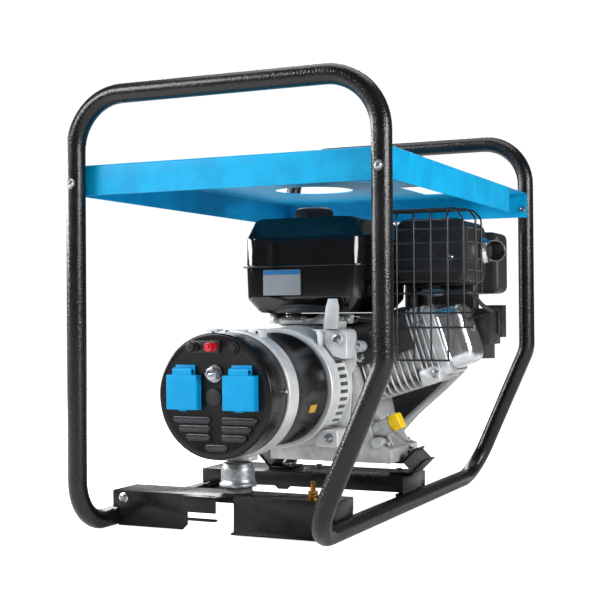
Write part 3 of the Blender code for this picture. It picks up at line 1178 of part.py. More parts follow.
def build_intake():
    """Air cleaner box, carburettor and the levers on them."""
    x0, x1 = AIR_X
    z0, z1 = AIR_Z
    outline = ((x0, z0 + 0.006), (x0 + 0.006, z0), (x1 - 0.004, z0), (x1, z0 + 0.004), (x1, z1 - 0.022),
               (x1 - 0.022, z1),
               (x0 + 0.014, z1), (x0, z1 - 0.014))
    band = box((x0 + 0.004, x1 - 0.003), (AIR_Y[0] - 0.004, AIR_Y[1] - 0.010), (z0 - 0.018, z0 + 0.010))
    node("air_cleaner", "plastic_grey", prism("Y", outline, *AIR_Y), add=(band,))
    body = box(CARB_X, CARB_Y, CARB_Z)
    bowl = rod("Z", ((CARB_X[0] + CARB_X[1]) / 2, CARB_Y[1] - 0.026), 0.020, CARB_Z[0] - 0.024,
               CARB_Z[0] + 0.002, 16)
    horn = rod("Y", ((CARB_X[0] + CARB_X[1]) / 2, (CARB_Z[0] + CARB_Z[1]) / 2), 0.017, CARB_Y[1] - 0.002,
               AIR_Y[0] + 0.010, 16)
    rise = box((CARB_X[0] + 0.006, CARB_X[1] - 0.006), (AIR_Y[0] - 0.0005, AIR_Y[0] + 0.030),
               (CARB_Z[0] + 0.010, z0 - 0.018 - GAP))
    node("carburetor", "cast_aluminium", body, add=(bowl, horn, rise))


def build_levers():
    """Choke lever, fuel tap lever and stop switch."""
    x = CARB_X[1] + GAP
    place = (x, CARB_Y[0] + 0.050, CARB_Z[1] - 0.010)
    boss = rod("X", (place[1], place[2]), 0.006, x, x + 0.004, 14)
    arm = box((x + 0.0005, x + 0.0035), (place[1] - 0.004, place[1] + 0.004), (place[2] - 0.034, place[2]))
    node("choke_lever", "plastic_black", boss, add=(arm,), origin=place)
    rear = BLOWER_Y[1] + GAP
    tap = (FUEL_TAP_PLACE[0], FUEL_TAP_PLACE[1])
    tap_base = rod("Y", tap, 0.011, rear, rear + 0.010, 16)
    lever_y = rear + 0.010 + GAP
    hub = rod("Y", tap, 0.0085, lever_y, lever_y + 0.006, 14)
    grip = box((tap[0], tap[0] + 0.030), (lever_y + 0.0005, lever_y + 0.0055),
               (tap[1] - 0.004, tap[1] + 0.004))
    node("fuel_tap_lever", "plastic_red", hub, add=(grip,), origin=(tap[0], lever_y, tap[1]))
    switch = SWITCH_PLACE
    plate = box((tap[0] - 0.016, tap[0] + 0.016), (rear, rear + 0.004), (switch[1] - 0.014, tap[1] + 0.014))
    base = box((switch[0] - 0.015, switch[0] + 0.015), (rear, rear + 0.016),
               (switch[1] - 0.010, switch[1] + 0.010))
    well = box((switch[0] - 0.0095, switch[0] + 0.0095), (rear + 0.008, rear + 0.02),
               (switch[1] - 0.007, switch[1] + 0.007))
    node("control_plate", "plastic_black", plate, add=(tap_base, base), cut=(well,))
    rocker = prism("Z", ((switch[0] - 0.0085, rear + 0.019), (switch[0] - 0.0080, rear + 0.0145),
                         (switch[0], rear + 0.0095),
                         (switch[0] + 0.0080, rear + 0.0105), (switch[0] + 0.0085, rear + 0.0150), (switch[0],
                                                                                                    rear + 0.0160)),
                   switch[1] - 0.006, switch[1] + 0.006)
    node("engine_switch", "plastic_red", rocker, origin=(switch[0], rear + 0.0125, switch[1]))


def build_dipstick():
    """Oil filler cap with its dipstick, standing in the filler neck."""
    profile = ((0.0, -0.070), (0.0022, -0.070), (0.0022, FILLER_LENGTH - 0.016),
               (FILLER_BORE - RUN, FILLER_LENGTH - 0.016),
               (FILLER_BORE - RUN, FILLER_LENGTH + GAP), (0.0165, FILLER_LENGTH + GAP), (0.0165,
                                                                                         FILLER_LENGTH + 0.004),
               (0.0130, FILLER_LENGTH + 0.005), (0.0130, FILLER_LENGTH + 0.019), (0.0, FILLER_LENGTH + 0.019))
    stick = turned("X", (0.0, 0.0), profile, 12)
    bmesh.ops.transform(stick, matrix=filler_frame(), verts=stick.verts)
    place = filler_frame() @ Vector((FILLER_LENGTH, 0.0, 0.0))
    node("dipstick", "plastic_yellow", stick, origin=tuple(place))


def build_spark_lead():
    """Spark plug cap and its lead, looping back to the blower housing."""
    x, y = LEAD_PLACE
    head_top = lean_point(HEAD_START + 0.010, y, FIN_HALF_V).z
    boot = rod("Z", LEAD_PLACE, 0.0065, head_top + 0.0035, head_top + 0.018, 12)
    points = ((x, y, head_top + 0.010), (x, y, head_top + 0.0235), (0.230, y, head_top + 0.026),
              (0.2425, y + 0.024, head_top + 0.004), (0.2415, CARB_Y[0] - 0.010, head_top - 0.006),
              (0.1835, CARB_Y[0] - 0.008, head_top - 0.022))
    path = rounded(points, (0.010, 0.014, 0.020, 0.008), 4)
    node("spark_lead", "rubber", sweep(path, 0.0032, 8), add=(boot,))


def build_all():
    """Build every piece of the generator."""
    clear_scene()
    for build in (build_hoops, build_rails, build_front_crossmember, build_rear_crossmember, build_top_cover,
                  build_cover_bolts, build_earth_terminal, build_alternator_mount, build_engine_mounts,
                  build_panel_cover, build_rear_bracket, build_stator, build_drive_bracket, build_rotor,
                  build_rear_bearing, build_sockets, build_dc_terminals, build_breaker,
                  build_panel_fittings, build_crankcase, build_crankshaft, build_cylinder, build_cylinder_head,
                  build_valve_cover, build_piston, build_cylinder_shroud, build_blower_housing, build_flywheel,
                  build_recoil_starter, build_fuel_tank, build_tank_supports, build_exhaust,
                  build_muffler_guard, build_intake, build_levers, build_dipstick, build_spark_lead):
        build()


build_all()
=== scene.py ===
"""Visual model of an open-frame portable generator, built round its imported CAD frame.

Each sub-assembly is a class that holds its sizes in metres, builds its pieces and puts them on the CAD bodies.
"""
import logging
import math
from dataclasses import dataclass
from enum import Enum
from typing import Callable, Iterable, Optional, Sequence

import bpy
from mathutils import Matrix, Vector

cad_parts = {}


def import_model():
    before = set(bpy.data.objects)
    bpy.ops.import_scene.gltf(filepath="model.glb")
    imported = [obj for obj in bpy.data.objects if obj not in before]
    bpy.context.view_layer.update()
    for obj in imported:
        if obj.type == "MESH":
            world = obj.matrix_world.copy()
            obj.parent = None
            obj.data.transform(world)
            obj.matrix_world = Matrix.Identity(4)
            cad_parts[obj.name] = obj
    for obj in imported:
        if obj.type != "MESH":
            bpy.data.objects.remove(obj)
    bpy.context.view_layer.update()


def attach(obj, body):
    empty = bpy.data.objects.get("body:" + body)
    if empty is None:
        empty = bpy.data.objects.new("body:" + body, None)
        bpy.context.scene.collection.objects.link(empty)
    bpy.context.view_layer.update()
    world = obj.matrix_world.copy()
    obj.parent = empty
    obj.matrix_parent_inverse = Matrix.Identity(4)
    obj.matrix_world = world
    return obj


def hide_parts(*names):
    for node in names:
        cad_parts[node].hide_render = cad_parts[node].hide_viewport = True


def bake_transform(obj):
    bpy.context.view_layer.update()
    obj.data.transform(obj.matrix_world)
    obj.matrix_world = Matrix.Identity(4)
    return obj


LOG = logging.getLogger("generator")
Place = Sequence[float]
MM = 0.001
CRANK = Vector((-0.050, 0.0, 0.1976))          # crank line, along Y
CYLINDER_LEAN = math.radians(18.0)
CYLINDER_Y = 0.059                             # middle of the bore, along Y
LEAN = Matrix.Translation(CRANK) @ Matrix.Rotation(-CYLINDER_LEAN, 4, "Y")


class Axis(Enum):
    """Direction that a piece is turned about or drawn along."""

    X = Vector((1.0, 0.0, 0.0))
    Y = Vector((0.0, 1.0, 0.0))
    Z = Vector((0.0, 0.0, 1.0))

    def point(self, u: float, v: float, w: float) -> Vector:
        """Point at w along the axis, with u and v in the plane square to it."""
        return Vector({"X": (w, u, v), "Y": (u, w, v), "Z": (u, v, w)}[self.name])


class Grain(Enum):
    """Fine relief that a surface was left with."""

    PEBBLED = "textured powder coat, small smooth pebbles"
    CAST = "sand-fine skin of a die casting"
    PEEL = "slight orange peel of sprayed enamel"
    MOULDED = "spark-eroded grain of a plastic mould"
    BRUSHED = "lines of a polishing wheel"
    ROLLED = "mill skin of sheet or wire"


def linear(colour: str) -> tuple[float, float, float, float]:
    """Turn an sRGB hex colour into Blender's linear one.

    Args:
        colour: Six hex digits, such as "05B0EE".

    Returns:
        Red, green, blue and alpha.
    """
    parts = [int(colour[i:i + 2], 16) / 255 for i in (0, 2, 4)]
    return (*[p / 12.92 if p <= 0.04045 else ((p + 0.055) / 1.055) ** 2.4 for p in parts], 1.0)


def add_node(tree: bpy.types.NodeTree, kind: str, inputs: Optional[dict] = None,
             **settings: object) -> bpy.types.Node:
    """Add one shader node with its settings, values and links.

    Args:
        tree: Node tree that takes the node.
        kind: Blender's name of the node type.
        inputs: Value or source socket of each input, by name or number.
        **settings: Attributes of the node.

    Returns:
        The new node.
    """
    made = tree.nodes.new(kind)
    for name, value in settings.items():
        setattr(made, name, value)
    for name, value in (inputs or {}).items():
        if isinstance(value, bpy.types.NodeSocket):
            tree.links.new(value, made.inputs[name])
        else:
            made.inputs[name].default_value = value
    return made


@dataclass(frozen=True)
class Finish:
    """One real finish: its colours, gloss and relief, and the name of the slot that it belongs to."""

    name: str
    slot: str
    colour: str
    tint: str
    roughness: float
    grain: Grain
    grain_mm: float
    relief_mm: float
    metallic: float = 0.0
    coat: float = 0.0
    spread: float = 0.08         # how much the roughness varies, up and down
    patch_mm: float = 45.0       # size of the patches in which colour and gloss vary
    specular: float = 0.5
    crease_shade: str = ""              # painted shade: dark colour laid into creases by an occlusion mask, if any

    def material(self) -> bpy.types.Material:
        """Return the finish's material, made the first time that it is asked for."""
        return bpy.data.materials.get(self.name) or self.mix()

    def mix(self) -> bpy.types.Material:
        """Make the node tree of the finish."""
        made = bpy.data.materials.new(self.name)
        made.use_nodes = True
        tree = made.node_tree
        shader = tree.nodes["Principled BSDF"]
        place = add_node(tree, "ShaderNodeTexCoord").outputs["Object"]
        patches = add_node(tree, "ShaderNodeTexNoise", {
            "Vector": place, "Scale": 1.0 / (self.patch_mm * MM), "Detail": 4.0, "Roughness": 0.6})
        shade = add_node(tree, "ShaderNodeMapRange", {
            "Value": patches.outputs["Fac"], "From Min": 0.35, "From Max": 0.65}, interpolation_type="SMOOTHSTEP")
        blend = add_node(tree, "ShaderNodeMix", {
            "Factor": shade.outputs["Result"], 6: linear(self.colour), 7: linear(self.tint)}, data_type="RGBA")
        colour = blend.outputs[2]
        # Painted shade: an ambient-occlusion mask darkens the colour in creases and recesses.
        if self.crease_shade:
            crease = add_node(tree, "ShaderNodeAmbientOcclusion", {"Distance": 0.010}, samples=4)
            shade_amount = add_node(tree, "ShaderNodeMapRange", {
                "Value": crease.outputs["AO"], "From Min": 0.25, "From Max": 0.85, "To Min": 0.75, "To Max": 0.0})
            colour = add_node(tree, "ShaderNodeMix", {
                "Factor": shade_amount.outputs["Result"], 6: colour, 7: linear(self.crease_shade)}, data_type="RGBA").outputs[2]
        tree.links.new(colour, shader.inputs["Base Color"])
        gloss = add_node(tree, "ShaderNodeMapRange", {
            "Value": patches.outputs["Fac"], "From Min": 0.3, "From Max": 0.7,
            "To Min": self.roughness - self.spread, "To Max": self.roughness + self.spread})
        tree.links.new(gloss.outputs["Result"], shader.inputs["Roughness"])
        relief = add_node(tree, "ShaderNodeBump", {
            "Height": self.height(tree, place), "Strength": 1.0, "Distance": self.relief_mm * MM})
        tree.links.new(relief.outputs["Normal"], shader.inputs["Normal"])
        shader.inputs["Metallic"].default_value = self.metallic
        shader.inputs["Specular IOR Level"].default_value = self.specular
        shader.inputs["Coat Weight"].default_value = self.coat
        shader.inputs["Coat Roughness"].default_value = 0.08
        made.diffuse_color = linear(self.colour)
        return made

    def height(self, tree: bpy.types.NodeTree, place: bpy.types.NodeSocket) -> bpy.types.NodeSocket:
        """Height map of the finish's grain.

        Args:
            tree: Node tree of the material.
            place: Object coordinates.

        Returns:
            The socket that carries the height, from 0 to 1.
        """
        scale = 1.0 / (self.grain_mm * MM)
        if self.grain is Grain.PEBBLED:
            cells = add_node(tree, "ShaderNodeTexVoronoi", {"Vector": place, "Scale": scale, "Smoothness": 0.7},
                             feature="SMOOTH_F1")
            return cells.outputs["Distance"]
        if self.grain is Grain.BRUSHED:
            place = add_node(tree, "ShaderNodeMapping", {"Vector": place, "Scale": (1.0, 0.12, 1.0)}).outputs[0]
        detail = {Grain.CAST: 5.0, Grain.PEEL: 0.0, Grain.MOULDED: 2.0}.get(self.grain, 3.0)
        return add_node(tree, "ShaderNodeTexNoise", {
            "Vector": place, "Scale": scale, "Detail": detail, "Roughness": 0.62}).outputs["Fac"]


# Textured black powder coat of the tube: small smooth pebbles that break the highlights into specks. They are about
# 1.2 mm on the real coat, and drawn coarser so that they show.
TUBE_COAT = Finish("powder_coat_textured_black", "frame_black", "08080A", "0F0F12", 0.28, Grain.PEBBLED, 2.6, 0.34,
                   coat=0.1, spread=0.05, specular=0.4)
# Satin black powder coat of the folded sheet: smoother, with a soft broad highlight.
SHEET_COAT = Finish("powder_coat_satin_black", "sheet_black", "09090A", "111112", 0.30, Grain.PEBBLED, 2.2, 0.10,
                    specular=0.35)
# Textured blue powder coat of the cover.
BLUE_COAT = Finish("powder_coat_textured_blue", "cover_blue", "0098CC", "00A6DA", 0.46, Grain.PEBBLED, 2.8, 0.22,
                   spread=0.05, specular=0.22)
# Bright zinc plate: pale, slightly blue and a little cloudy.
ZINC = Finish("zinc_plate_bright", "zinc", "C9CCCF", "A8ACB0", 0.26, Grain.ROLLED, 1.5, 0.03, metallic=1.0,
              patch_mm=9.0)
CLOUDY_ZINC = Finish("zinc_plate_cloudy", "zinc", "B0B3B5", "85898C", 0.38, Grain.ROLLED, 2.5, 0.08, metallic=0.9,
                     patch_mm=7.0)
BRASS = Finish("brass_turned", "brass", "C79A46", "A87C30", 0.28, Grain.BRUSHED, 0.8, 0.03, metallic=1.0,
               patch_mm=8.0)
# Bare die-cast aluminium of the engine: matt, slightly mottled, and darker in its creases, where shade is painted in.
ENGINE_CASTING = Finish("aluminium_die_cast", "cast_aluminium", "DCDDDD", "C0C1C1", 0.40, Grain.CAST, 1.6, 0.20,
                        metallic=0.45, patch_mm=22.0, crease_shade="2A2826")
# Brighter, shot-blasted die castings of the alternator, also darker in their creases, where shade is painted in.
BRACKET_CASTING = Finish("aluminium_shot_blasted", "cast_aluminium", "E4E5E5", "CED0D0", 0.44, Grain.CAST, 1.2, 0.14,
                         metallic=0.35, patch_mm=26.0, crease_shade="4A4845")
# Rolled and wheel-polished aluminium of the rocker cover.
POLISHED = Finish("aluminium_wheel_polished", "polished_aluminium", "E6E8EA", "CDD0D2", 0.24, Grain.BRUSHED, 1.0,
                  0.03,
                  metallic=1.0, patch_mm=30.0)
# Gloss black enamel of the tank.
ENAMEL = Finish("enamel_gloss_black", "gloss_black", "040405", "070709", 0.10, Grain.PEEL, 6.0, 0.03, coat=0.3,
                spread=0.03)
# Semi-gloss black paint on pressed steel.
STATOR_PAINT = Finish("enamel_stator_black", "gloss_black", "050506", "0A0A0B", 0.24, Grain.PEEL, 3.0, 0.05,
                      spread=0.05,
                      specular=0.4)
PANEL_PAINT = Finish("paint_satin_black", "satin_black", "0A0A0C", "101013", 0.27, Grain.PEEL, 1.8, 0.04, spread=0.05,
                     specular=0.35)
# Textured charcoal polypropylene of the shroud and air cleaner.
CHARCOAL = Finish("polypropylene_charcoal", "plastic_grey", "26282A", "1F2022", 0.44, Grain.MOULDED, 1.0, 0.05)
# Heat-proof paint of the muffler.
HEAT_PAINT = Finish("paint_heat_proof_grey", "muffler_grey", "262628", "1E1F20", 0.50, Grain.CAST, 1.4, 0.07,
                    metallic=0.25)
# Moulded nylon and ABS.
BLUE_NYLON = Finish("nylon_moulded_blue", "plastic_blue", "0094CE", "009AD6", 0.42, Grain.MOULDED, 0.9, 0.03,
                    specular=0.22)
BLACK_NYLON = Finish("nylon_moulded_black", "plastic_black", "161618", "1E1E20", 0.42, Grain.MOULDED, 0.9, 0.05)
RED_ABS = Finish("abs_moulded_red", "plastic_red", "C20A22", "A8081C", 0.28, Grain.MOULDED, 0.9, 0.03, coat=0.3)
YELLOW_ABS = Finish("abs_moulded_yellow", "plastic_yellow", "FBD80A", "F2CB05", 0.34, Grain.MOULDED, 0.9, 0.03)
RUBBER = Finish("rubber_moulded_black", "rubber", "1C1C1E", "242426", 0.62, Grain.MOULDED, 1.2, 0.06)
MOUNT_RUBBER = Finish("rubber_mount_grey_black", "rubber", "5C5C59", "4C4C4A", 0.60, Grain.MOULDED, 1.2, 0.06)
STEEL = Finish("steel_machined", "steel", "9A9C9E", "808284", 0.30, Grain.BRUSHED, 0.8, 0.03, metallic=1.0)
LAMINATION = Finish("laminations_varnished", "lamination", "5A4636", "463628", 0.35, Grain.BRUSHED, 0.9, 0.08,
                    metallic=0.7)
WIRE = Finish("wire_coated_black", "plastic_black", "1A1A1C", "222224", 0.34, Grain.PEEL, 1.2, 0.04, coat=0.2)
BURNT = Finish("steel_heat_darkened", "polished_aluminium", "4A4440", "2C2826", 0.5, Grain.CAST, 1.5, 0.1,
               metallic=0.9)
LABEL_GREY = Finish("label_vinyl_pale", "gloss_black", "8E9296", "868A8E", 0.35, Grain.PEEL, 4.0, 0.01)
LABEL_BLUE = Finish("label_vinyl_blue", "gloss_black", "1C6FA6", "1A699E", 0.35, Grain.PEEL, 4.0, 0.01)
STICKER = Finish("label_vinyl_yellow", "gloss_black", "D0A018", "C89814", 0.35, Grain.PEEL, 4.0, 0.01)
# Painted sheen: the pressed louvres take the drum's satin black paint, lightened to grey where the hoods catch the
# light.
LOUVRE_SHEEN_PAINT = Finish("paint_satin_black_with_painted_sheen", "satin_black", "202024", "2C2C30", 0.24, Grain.PEBBLED, 2.2, 0.22,
                      spread=0.04)
ROPE = Finish("rope_braided_black", "rubber", "1E1E1F", "2A2A2B", 0.75, Grain.MOULDED, 1.0, 0.15)
CARB_BLACK = Finish("phenolic_black", "plastic_black", "1A1A1B", "262627", 0.38, Grain.MOULDED, 1.2, 0.06)
FLOOR_PAPER = Finish("paper_backdrop_white", "", "F4F4F4", "F0F0F0", 0.75, Grain.CAST, 8.0, 0.02, patch_mm=900.0)


def fillet(corners: Sequence[Place], radii: Sequence[float], steps: int = 6) -> list[tuple[float, float]]:
    """Round the corners of a closed outline.

    Args:
        corners: Points of the outline.
        radii: Radius at each corner, the last one repeated if there are fewer.
        steps: Straight runs in each arc.

    Returns:
        Points of the rounded outline.
    """
    spots: list[tuple[float, float]] = []
    count = len(corners)
    for index in range(count):
        radius = radii[min(index, len(radii) - 1)]
        here = Vector(corners[index])
        back = (Vector(corners[index - 1]) - here)
        onward = (Vector(corners[(index + 1) % count]) - here)
        half = back.angle(onward) / 2
        reach = min(radius / math.tan(half), back.length * 0.49, onward.length * 0.49)
        if radius <= 0 or reach < 1e-6:
            spots.append(tuple(here))
            continue
        start = here + back.normalized() * reach
        finish = here + onward.normalized() * reach
        for step in range(steps + 1):
            t = step / steps
            spots.append(tuple(start * (1 - t) ** 2 + here * 2 * t * (1 - t) + finish * t ** 2))
    return spots


def oblong(centre: Place, width: float, height: float, radius: float, steps: int = 6) -> list[tuple[float, float]]:
    """Outline of a rectangle with round corners."""
    x, y, a, b = centre[0], centre[1], width / 2, height / 2
    return fillet(((x - a, y - b), (x + a, y - b), (x + a, y + b), (x - a, y + b)), [radius], steps)


def ngon(centre: Place, radius: float, sides: int, turn: float = 0.0) -> list[tuple[float, float]]:
    """Outline of a regular polygon."""
    angles = [turn + 2 * math.pi * k / sides for k in range(sides)]
    return [(centre[0] + radius * math.cos(a), centre[1] + radius * math.sin(a)) for a in angles]


class Bench:
    """Modelling steps shared by the sub-assemblies, each done with Blender's own operators."""

    @staticmethod
    def pick(*pieces: bpy.types.Object) -> None:
        """Leave edit mode and select only these pieces, the first one active."""
        if bpy.context.object and bpy.context.object.mode != "OBJECT":
            bpy.ops.object.mode_set(mode="OBJECT")
        bpy.ops.object.select_all(action="DESELECT")
        for piece in pieces:
            piece.select_set(True)
        bpy.context.view_layer.objects.active = pieces[0] if pieces else None

    @staticmethod
    def open(piece: bpy.types.Object) -> None:
        """Select all of a piece in edit mode."""
        Bench.pick(piece)
        bpy.ops.object.mode_set(mode="EDIT")
        bpy.ops.mesh.select_all(action="SELECT")

    @staticmethod
    def close(piece: bpy.types.Object, merge: float = 1e-6) -> bpy.types.Object:
        """Merge a piece's doubles, turn its faces outwards and leave edit mode."""
        bpy.ops.mesh.select_all(action="SELECT")
        bpy.ops.mesh.remove_doubles(threshold=merge)
        bpy.ops.mesh.normals_make_consistent(inside=False)
        bpy.ops.object.mode_set(mode="OBJECT")
        return piece

    @staticmethod
    def lathe(profile: Sequence[Place], base: Place, axis: Axis | Vector = Axis.Z, sides: int = 64,
              ring: bool = False) -> bpy.types.Object:
        """Turn a piece by extruding and scaling a circle along its axis.

        Args:
            profile: (radius, height) points from one end of the piece to the other.
            base: Point on the axis where the height is 0.
            axis: Direction of the axis.
            sides: Number of sides of the circle.
            ring: Whether the profile closes on itself, as on a washer.

        Returns:
            The turned piece.
        """
        Bench.pick()
        radius, height = profile[0]
        bpy.ops.mesh.primitive_circle_add(vertices=sides, radius=radius, fill_type="NOTHING" if ring else "NGON",
                                          location=(0.0, 0.0, height))
        piece = bpy.context.object
        bpy.ops.object.transform_apply(location=True, rotation=True, scale=True)
        Bench.open(piece)
        for next_radius, next_height in [*profile[1:], *(profile[:1] if ring else ())]:
            bpy.ops.mesh.extrude_region_move(TRANSFORM_OT_translate={"value": (0.0, 0.0, next_height - height)})
            share = next_radius / radius
            bpy.ops.transform.resize(value=(share, share, 1.0), center_override=(0.0, 0.0, next_height))
            radius, height = next_radius, next_height
        Bench.close(piece)
        direction = axis.value if isinstance(axis, Axis) else axis
        turn = Vector((0.0, 0.0, 1.0)).rotation_difference(direction).to_matrix().to_4x4()
        return Bench.move(piece, Matrix.Translation(Vector(base)) @ turn)

    @staticmethod
    def move(piece: bpy.types.Object, place: Matrix) -> bpy.types.Object:
        """Put a matrix into a piece's mesh."""
        piece.data.transform(place)
        piece.data.update()
        return piece

    @staticmethod
    def slab(outline: Sequence[Place], start: float, end: float, axis: Axis = Axis.Y) -> bpy.types.Object:
        """Extrude an outline along an axis.

        Args:
            outline: Points of the outline, in the plane square to the axis.
            start: Where the outline lies along the axis.
            end: Where the far face lies.
            axis: Direction of the extrusion.

        Returns:
            The closed slab.
        """
        Bench.pick()
        bpy.ops.mesh.primitive_circle_add(vertices=len(outline), radius=1.0, fill_type="NGON")
        piece = bpy.context.object
        for vertex, (u, v) in zip(piece.data.vertices, outline):
            vertex.co = axis.point(u, v, start)
        Bench.open(piece)
        bpy.ops.mesh.extrude_region_move(TRANSFORM_OT_translate={"value": tuple(axis.value * (end - start))})
        return Bench.close(piece)

    @staticmethod
    def loft(outline: Sequence[Place], levels: Sequence[tuple[float, float, float, float, float]],
             axis: Axis = Axis.Z) -> bpy.types.Object:
        """Extrude an outline through levels, each with its own reach and place.

        Args:
            outline: Points of the outline, in the plane square to the axis, about its own middle.
            levels: (height, u scale, v scale, u shift, v shift) of each level.
            axis: Direction of the extrusion.

        Returns:
            The closed piece.
        """
        Bench.pick()
        height, su, sv, du, dv = levels[0]
        bpy.ops.mesh.primitive_circle_add(vertices=len(outline), radius=1.0, fill_type="NGON")
        piece = bpy.context.object
        for vertex, (u, v) in zip(piece.data.vertices, outline):
            vertex.co = axis.point(u * su + du, v * sv + dv, height)
        Bench.open(piece)
        for level in levels[1:]:
            step = axis.point(level[3] - du, level[4] - dv, level[0] - height)
            bpy.ops.mesh.extrude_region_move(TRANSFORM_OT_translate={"value": tuple(step)})
            bpy.ops.transform.resize(value=tuple(axis.point(level[1] / su, level[2] / sv, 1.0)),
                                     center_override=tuple(axis.point(level[3], level[4], level[0])))
            height, su, sv, du, dv = level
        return Bench.close(piece)

    @staticmethod
    def block(low: Place, high: Place, edge: float = 0.0, segments: int = 3) -> bpy.types.Object:
        """Add a cube between two corners, with its edges rounded."""
        Bench.pick()
        centre = (Vector(low) + Vector(high)) / 2
        bpy.ops.mesh.primitive_cube_add(size=1.0, location=centre)
        piece = bpy.context.object
        bpy.ops.transform.resize(value=tuple(Vector(high) - Vector(low)))
        bpy.ops.object.transform_apply(location=True, rotation=True, scale=True)
        return Bench.soften(piece, edge, segments) if edge else piece

    @staticmethod
    def soften(piece: bpy.types.Object, width: float, segments: int = 3, angle: float = 32.0) -> bpy.types.Object:
        """Round the sharp edges of a piece."""
        change = piece.modifiers.new("edges", "BEVEL")
        change.width = width
        change.segments = segments
        change.limit_method = "ANGLE"
        change.angle_limit = math.radians(angle)
        change.miter_outer = "MITER_ARC"
        return Bench.apply(piece)

    @staticmethod
    def apply(piece: bpy.types.Object) -> bpy.types.Object:
        """Apply every modifier of a piece."""
        Bench.pick(piece)
        for change in list(piece.modifiers):
            bpy.ops.object.modifier_apply(modifier=change.name)
        return piece

    @staticmethod
    def boolean(piece: bpy.types.Object, tool: bpy.types.Object, operation: str = "DIFFERENCE") -> bpy.types.Object:
        """Cut a tool from a piece, or fuse it to the piece, and remove the tool."""
        change = piece.modifiers.new("boolean", "BOOLEAN")
        change.operation = operation
        change.object = tool
        Bench.apply(piece)
        bpy.data.objects.remove(tool, do_unlink=True)
        return piece

    @staticmethod
    def join(pieces: Iterable[bpy.types.Object]) -> bpy.types.Object:
        """Join pieces into one object."""
        pieces = list(pieces)
        Bench.pick(*pieces)
        if len(pieces) > 1:
            bpy.ops.object.join()
        return pieces[0]

    @staticmethod
    def copy(piece: bpy.types.Object, place: Matrix) -> bpy.types.Object:
        """Copy a piece with a mesh of its own, and move the copy."""
        twin = piece.copy()
        twin.data = piece.data.copy()
        bpy.context.scene.collection.objects.link(twin)
        return Bench.move(twin, place)

    @staticmethod
    def spread(piece: bpy.types.Object, places: Sequence[Matrix]) -> bpy.types.Object:
        """Copy a piece to each place and join the copies; the piece itself is used up."""
        copies = [Bench.copy(piece, place) for place in places]
        bpy.data.objects.remove(piece, do_unlink=True)
        return Bench.join(copies)

    @staticmethod
    def node(name: str, tilt: float = 1.0) -> bpy.types.Object:
        """Start a piece from a merged copy of a CAD node.

        Args:
            name: CAD node that is copied.
            tilt: Angle in degrees under which two faces count as one flat face.

        Returns:
            The copy, which the CAD node doesn't share.
        """
        source = bpy.data.objects[name]
        piece = bpy.data.objects.new(f"{name}.start", source.data.copy())
        bpy.context.scene.collection.objects.link(piece)
        piece.data.materials.clear()
        Bench.open(piece)
        bpy.ops.mesh.remove_doubles(threshold=2e-6)
        bpy.ops.mesh.dissolve_limited(angle_limit=math.radians(tilt))
        bpy.ops.object.mode_set(mode="OBJECT")
        return piece

    @staticmethod
    def tube(points: Sequence[Place], radius: float, bends: Sequence[float] = (), steps: int = 8, loop: bool = False,
             round_steps: int = 6) -> bpy.types.Object:
        """Draw a tube or wire along a path with rounded corners.

        Args:
            points: Corners of the path.
            radius: Radius of the tube.
            bends: Bend radius at each inner corner, or at every corner of a loop.
            steps: Straight runs in each bend.
            loop: Whether the path closes on itself.
            round_steps: Fineness of the tube's round.

        Returns:
            The tube as a mesh.
        """
        spots = [Vector(point) for point in points]
        count = len(spots)
        path = [] if loop else [spots[0]]
        inner = range(count) if loop else range(1, count - 1)
        for number, index in enumerate(inner):
            here, back, onward = spots[index], spots[index - 1], spots[(index + 1) % count]
            bend = bends[min(number, len(bends) - 1)] if bends else 0.0
            to_back, to_onward = (back - here).normalized(), (onward - here).normalized()
            half = to_back.angle(to_onward) / 2
            if bend <= 0 or half > math.radians(89.5):
                path.append(here)
                continue
            start = here + to_back * bend / math.tan(half)
            centre = here + (to_back + to_onward).normalized() * bend / math.sin(half)
            axis = (start - centre).cross(here + to_onward * bend / math.tan(half) - centre)
            for step in range(steps + 1):
                turn = Matrix.Rotation((math.pi - 2 * half) * step / steps, 3, axis)
                path.append(centre + turn @ (start - centre))
        if not loop:
            path.append(spots[-1])
        line = bpy.data.curves.new("tube", "CURVE")
        line.dimensions = "3D"
        line.bevel_depth = radius
        line.bevel_resolution = round_steps
        line.use_fill_caps = not loop
        spline = line.splines.new("POLY")
        spline.points.add(len(path) - 1)
        for spot, here in zip(spline.points, path):
            spot.co = (*here, 1.0)
        spline.use_cyclic_u = loop
        piece = bpy.data.objects.new("tube", line)
        bpy.context.scene.collection.objects.link(piece)
        Bench.pick(piece)
        bpy.ops.object.convert(target="MESH")
        piece = bpy.context.object
        Bench.open(piece)
        return Bench.close(piece)

    @staticmethod
    def hex_bolt(place: Place, direction: Vector, across: float = 0.010, head: float = 0.0055,
                 washer: float = 0.0) -> bpy.types.Object:
        """Hexagon flange bolt head, drawn from its seat outwards.

        Args:
            place: Middle of the seat.
            direction: Way that the head points.
            across: Width across flats.
            head: Height of the head.
            washer: Radius of the flange, or 0 for three quarters of the width.

        Returns:
            The bolt head with its flange.
        """
        flange = washer or across * 0.78
        skirt = Bench.lathe([(flange, 0.0), (flange, 0.0010), (across * 0.55, 0.0022), (across * 0.40, 0.0024)],
                            (0, 0, 0), Axis.Z, 24)
        cap = Bench.slab(ngon((0.0, 0.0), across * 0.577, 6), 0.001, head, Axis.Z)
        Bench.soften(cap, 0.0007, 2)
        dish = Bench.lathe([(across * 0.32, head - 0.0006), (across * 0.36, head + 0.0006)], (0, 0, 0), Axis.Z, 20)
        Bench.boolean(cap, dish)
        turn = Vector((0.0, 0.0, 1.0)).rotation_difference(Vector(direction)).to_matrix().to_4x4()
        return Bench.move(Bench.join([cap, skirt]), Matrix.Translation(Vector(place)) @ turn)

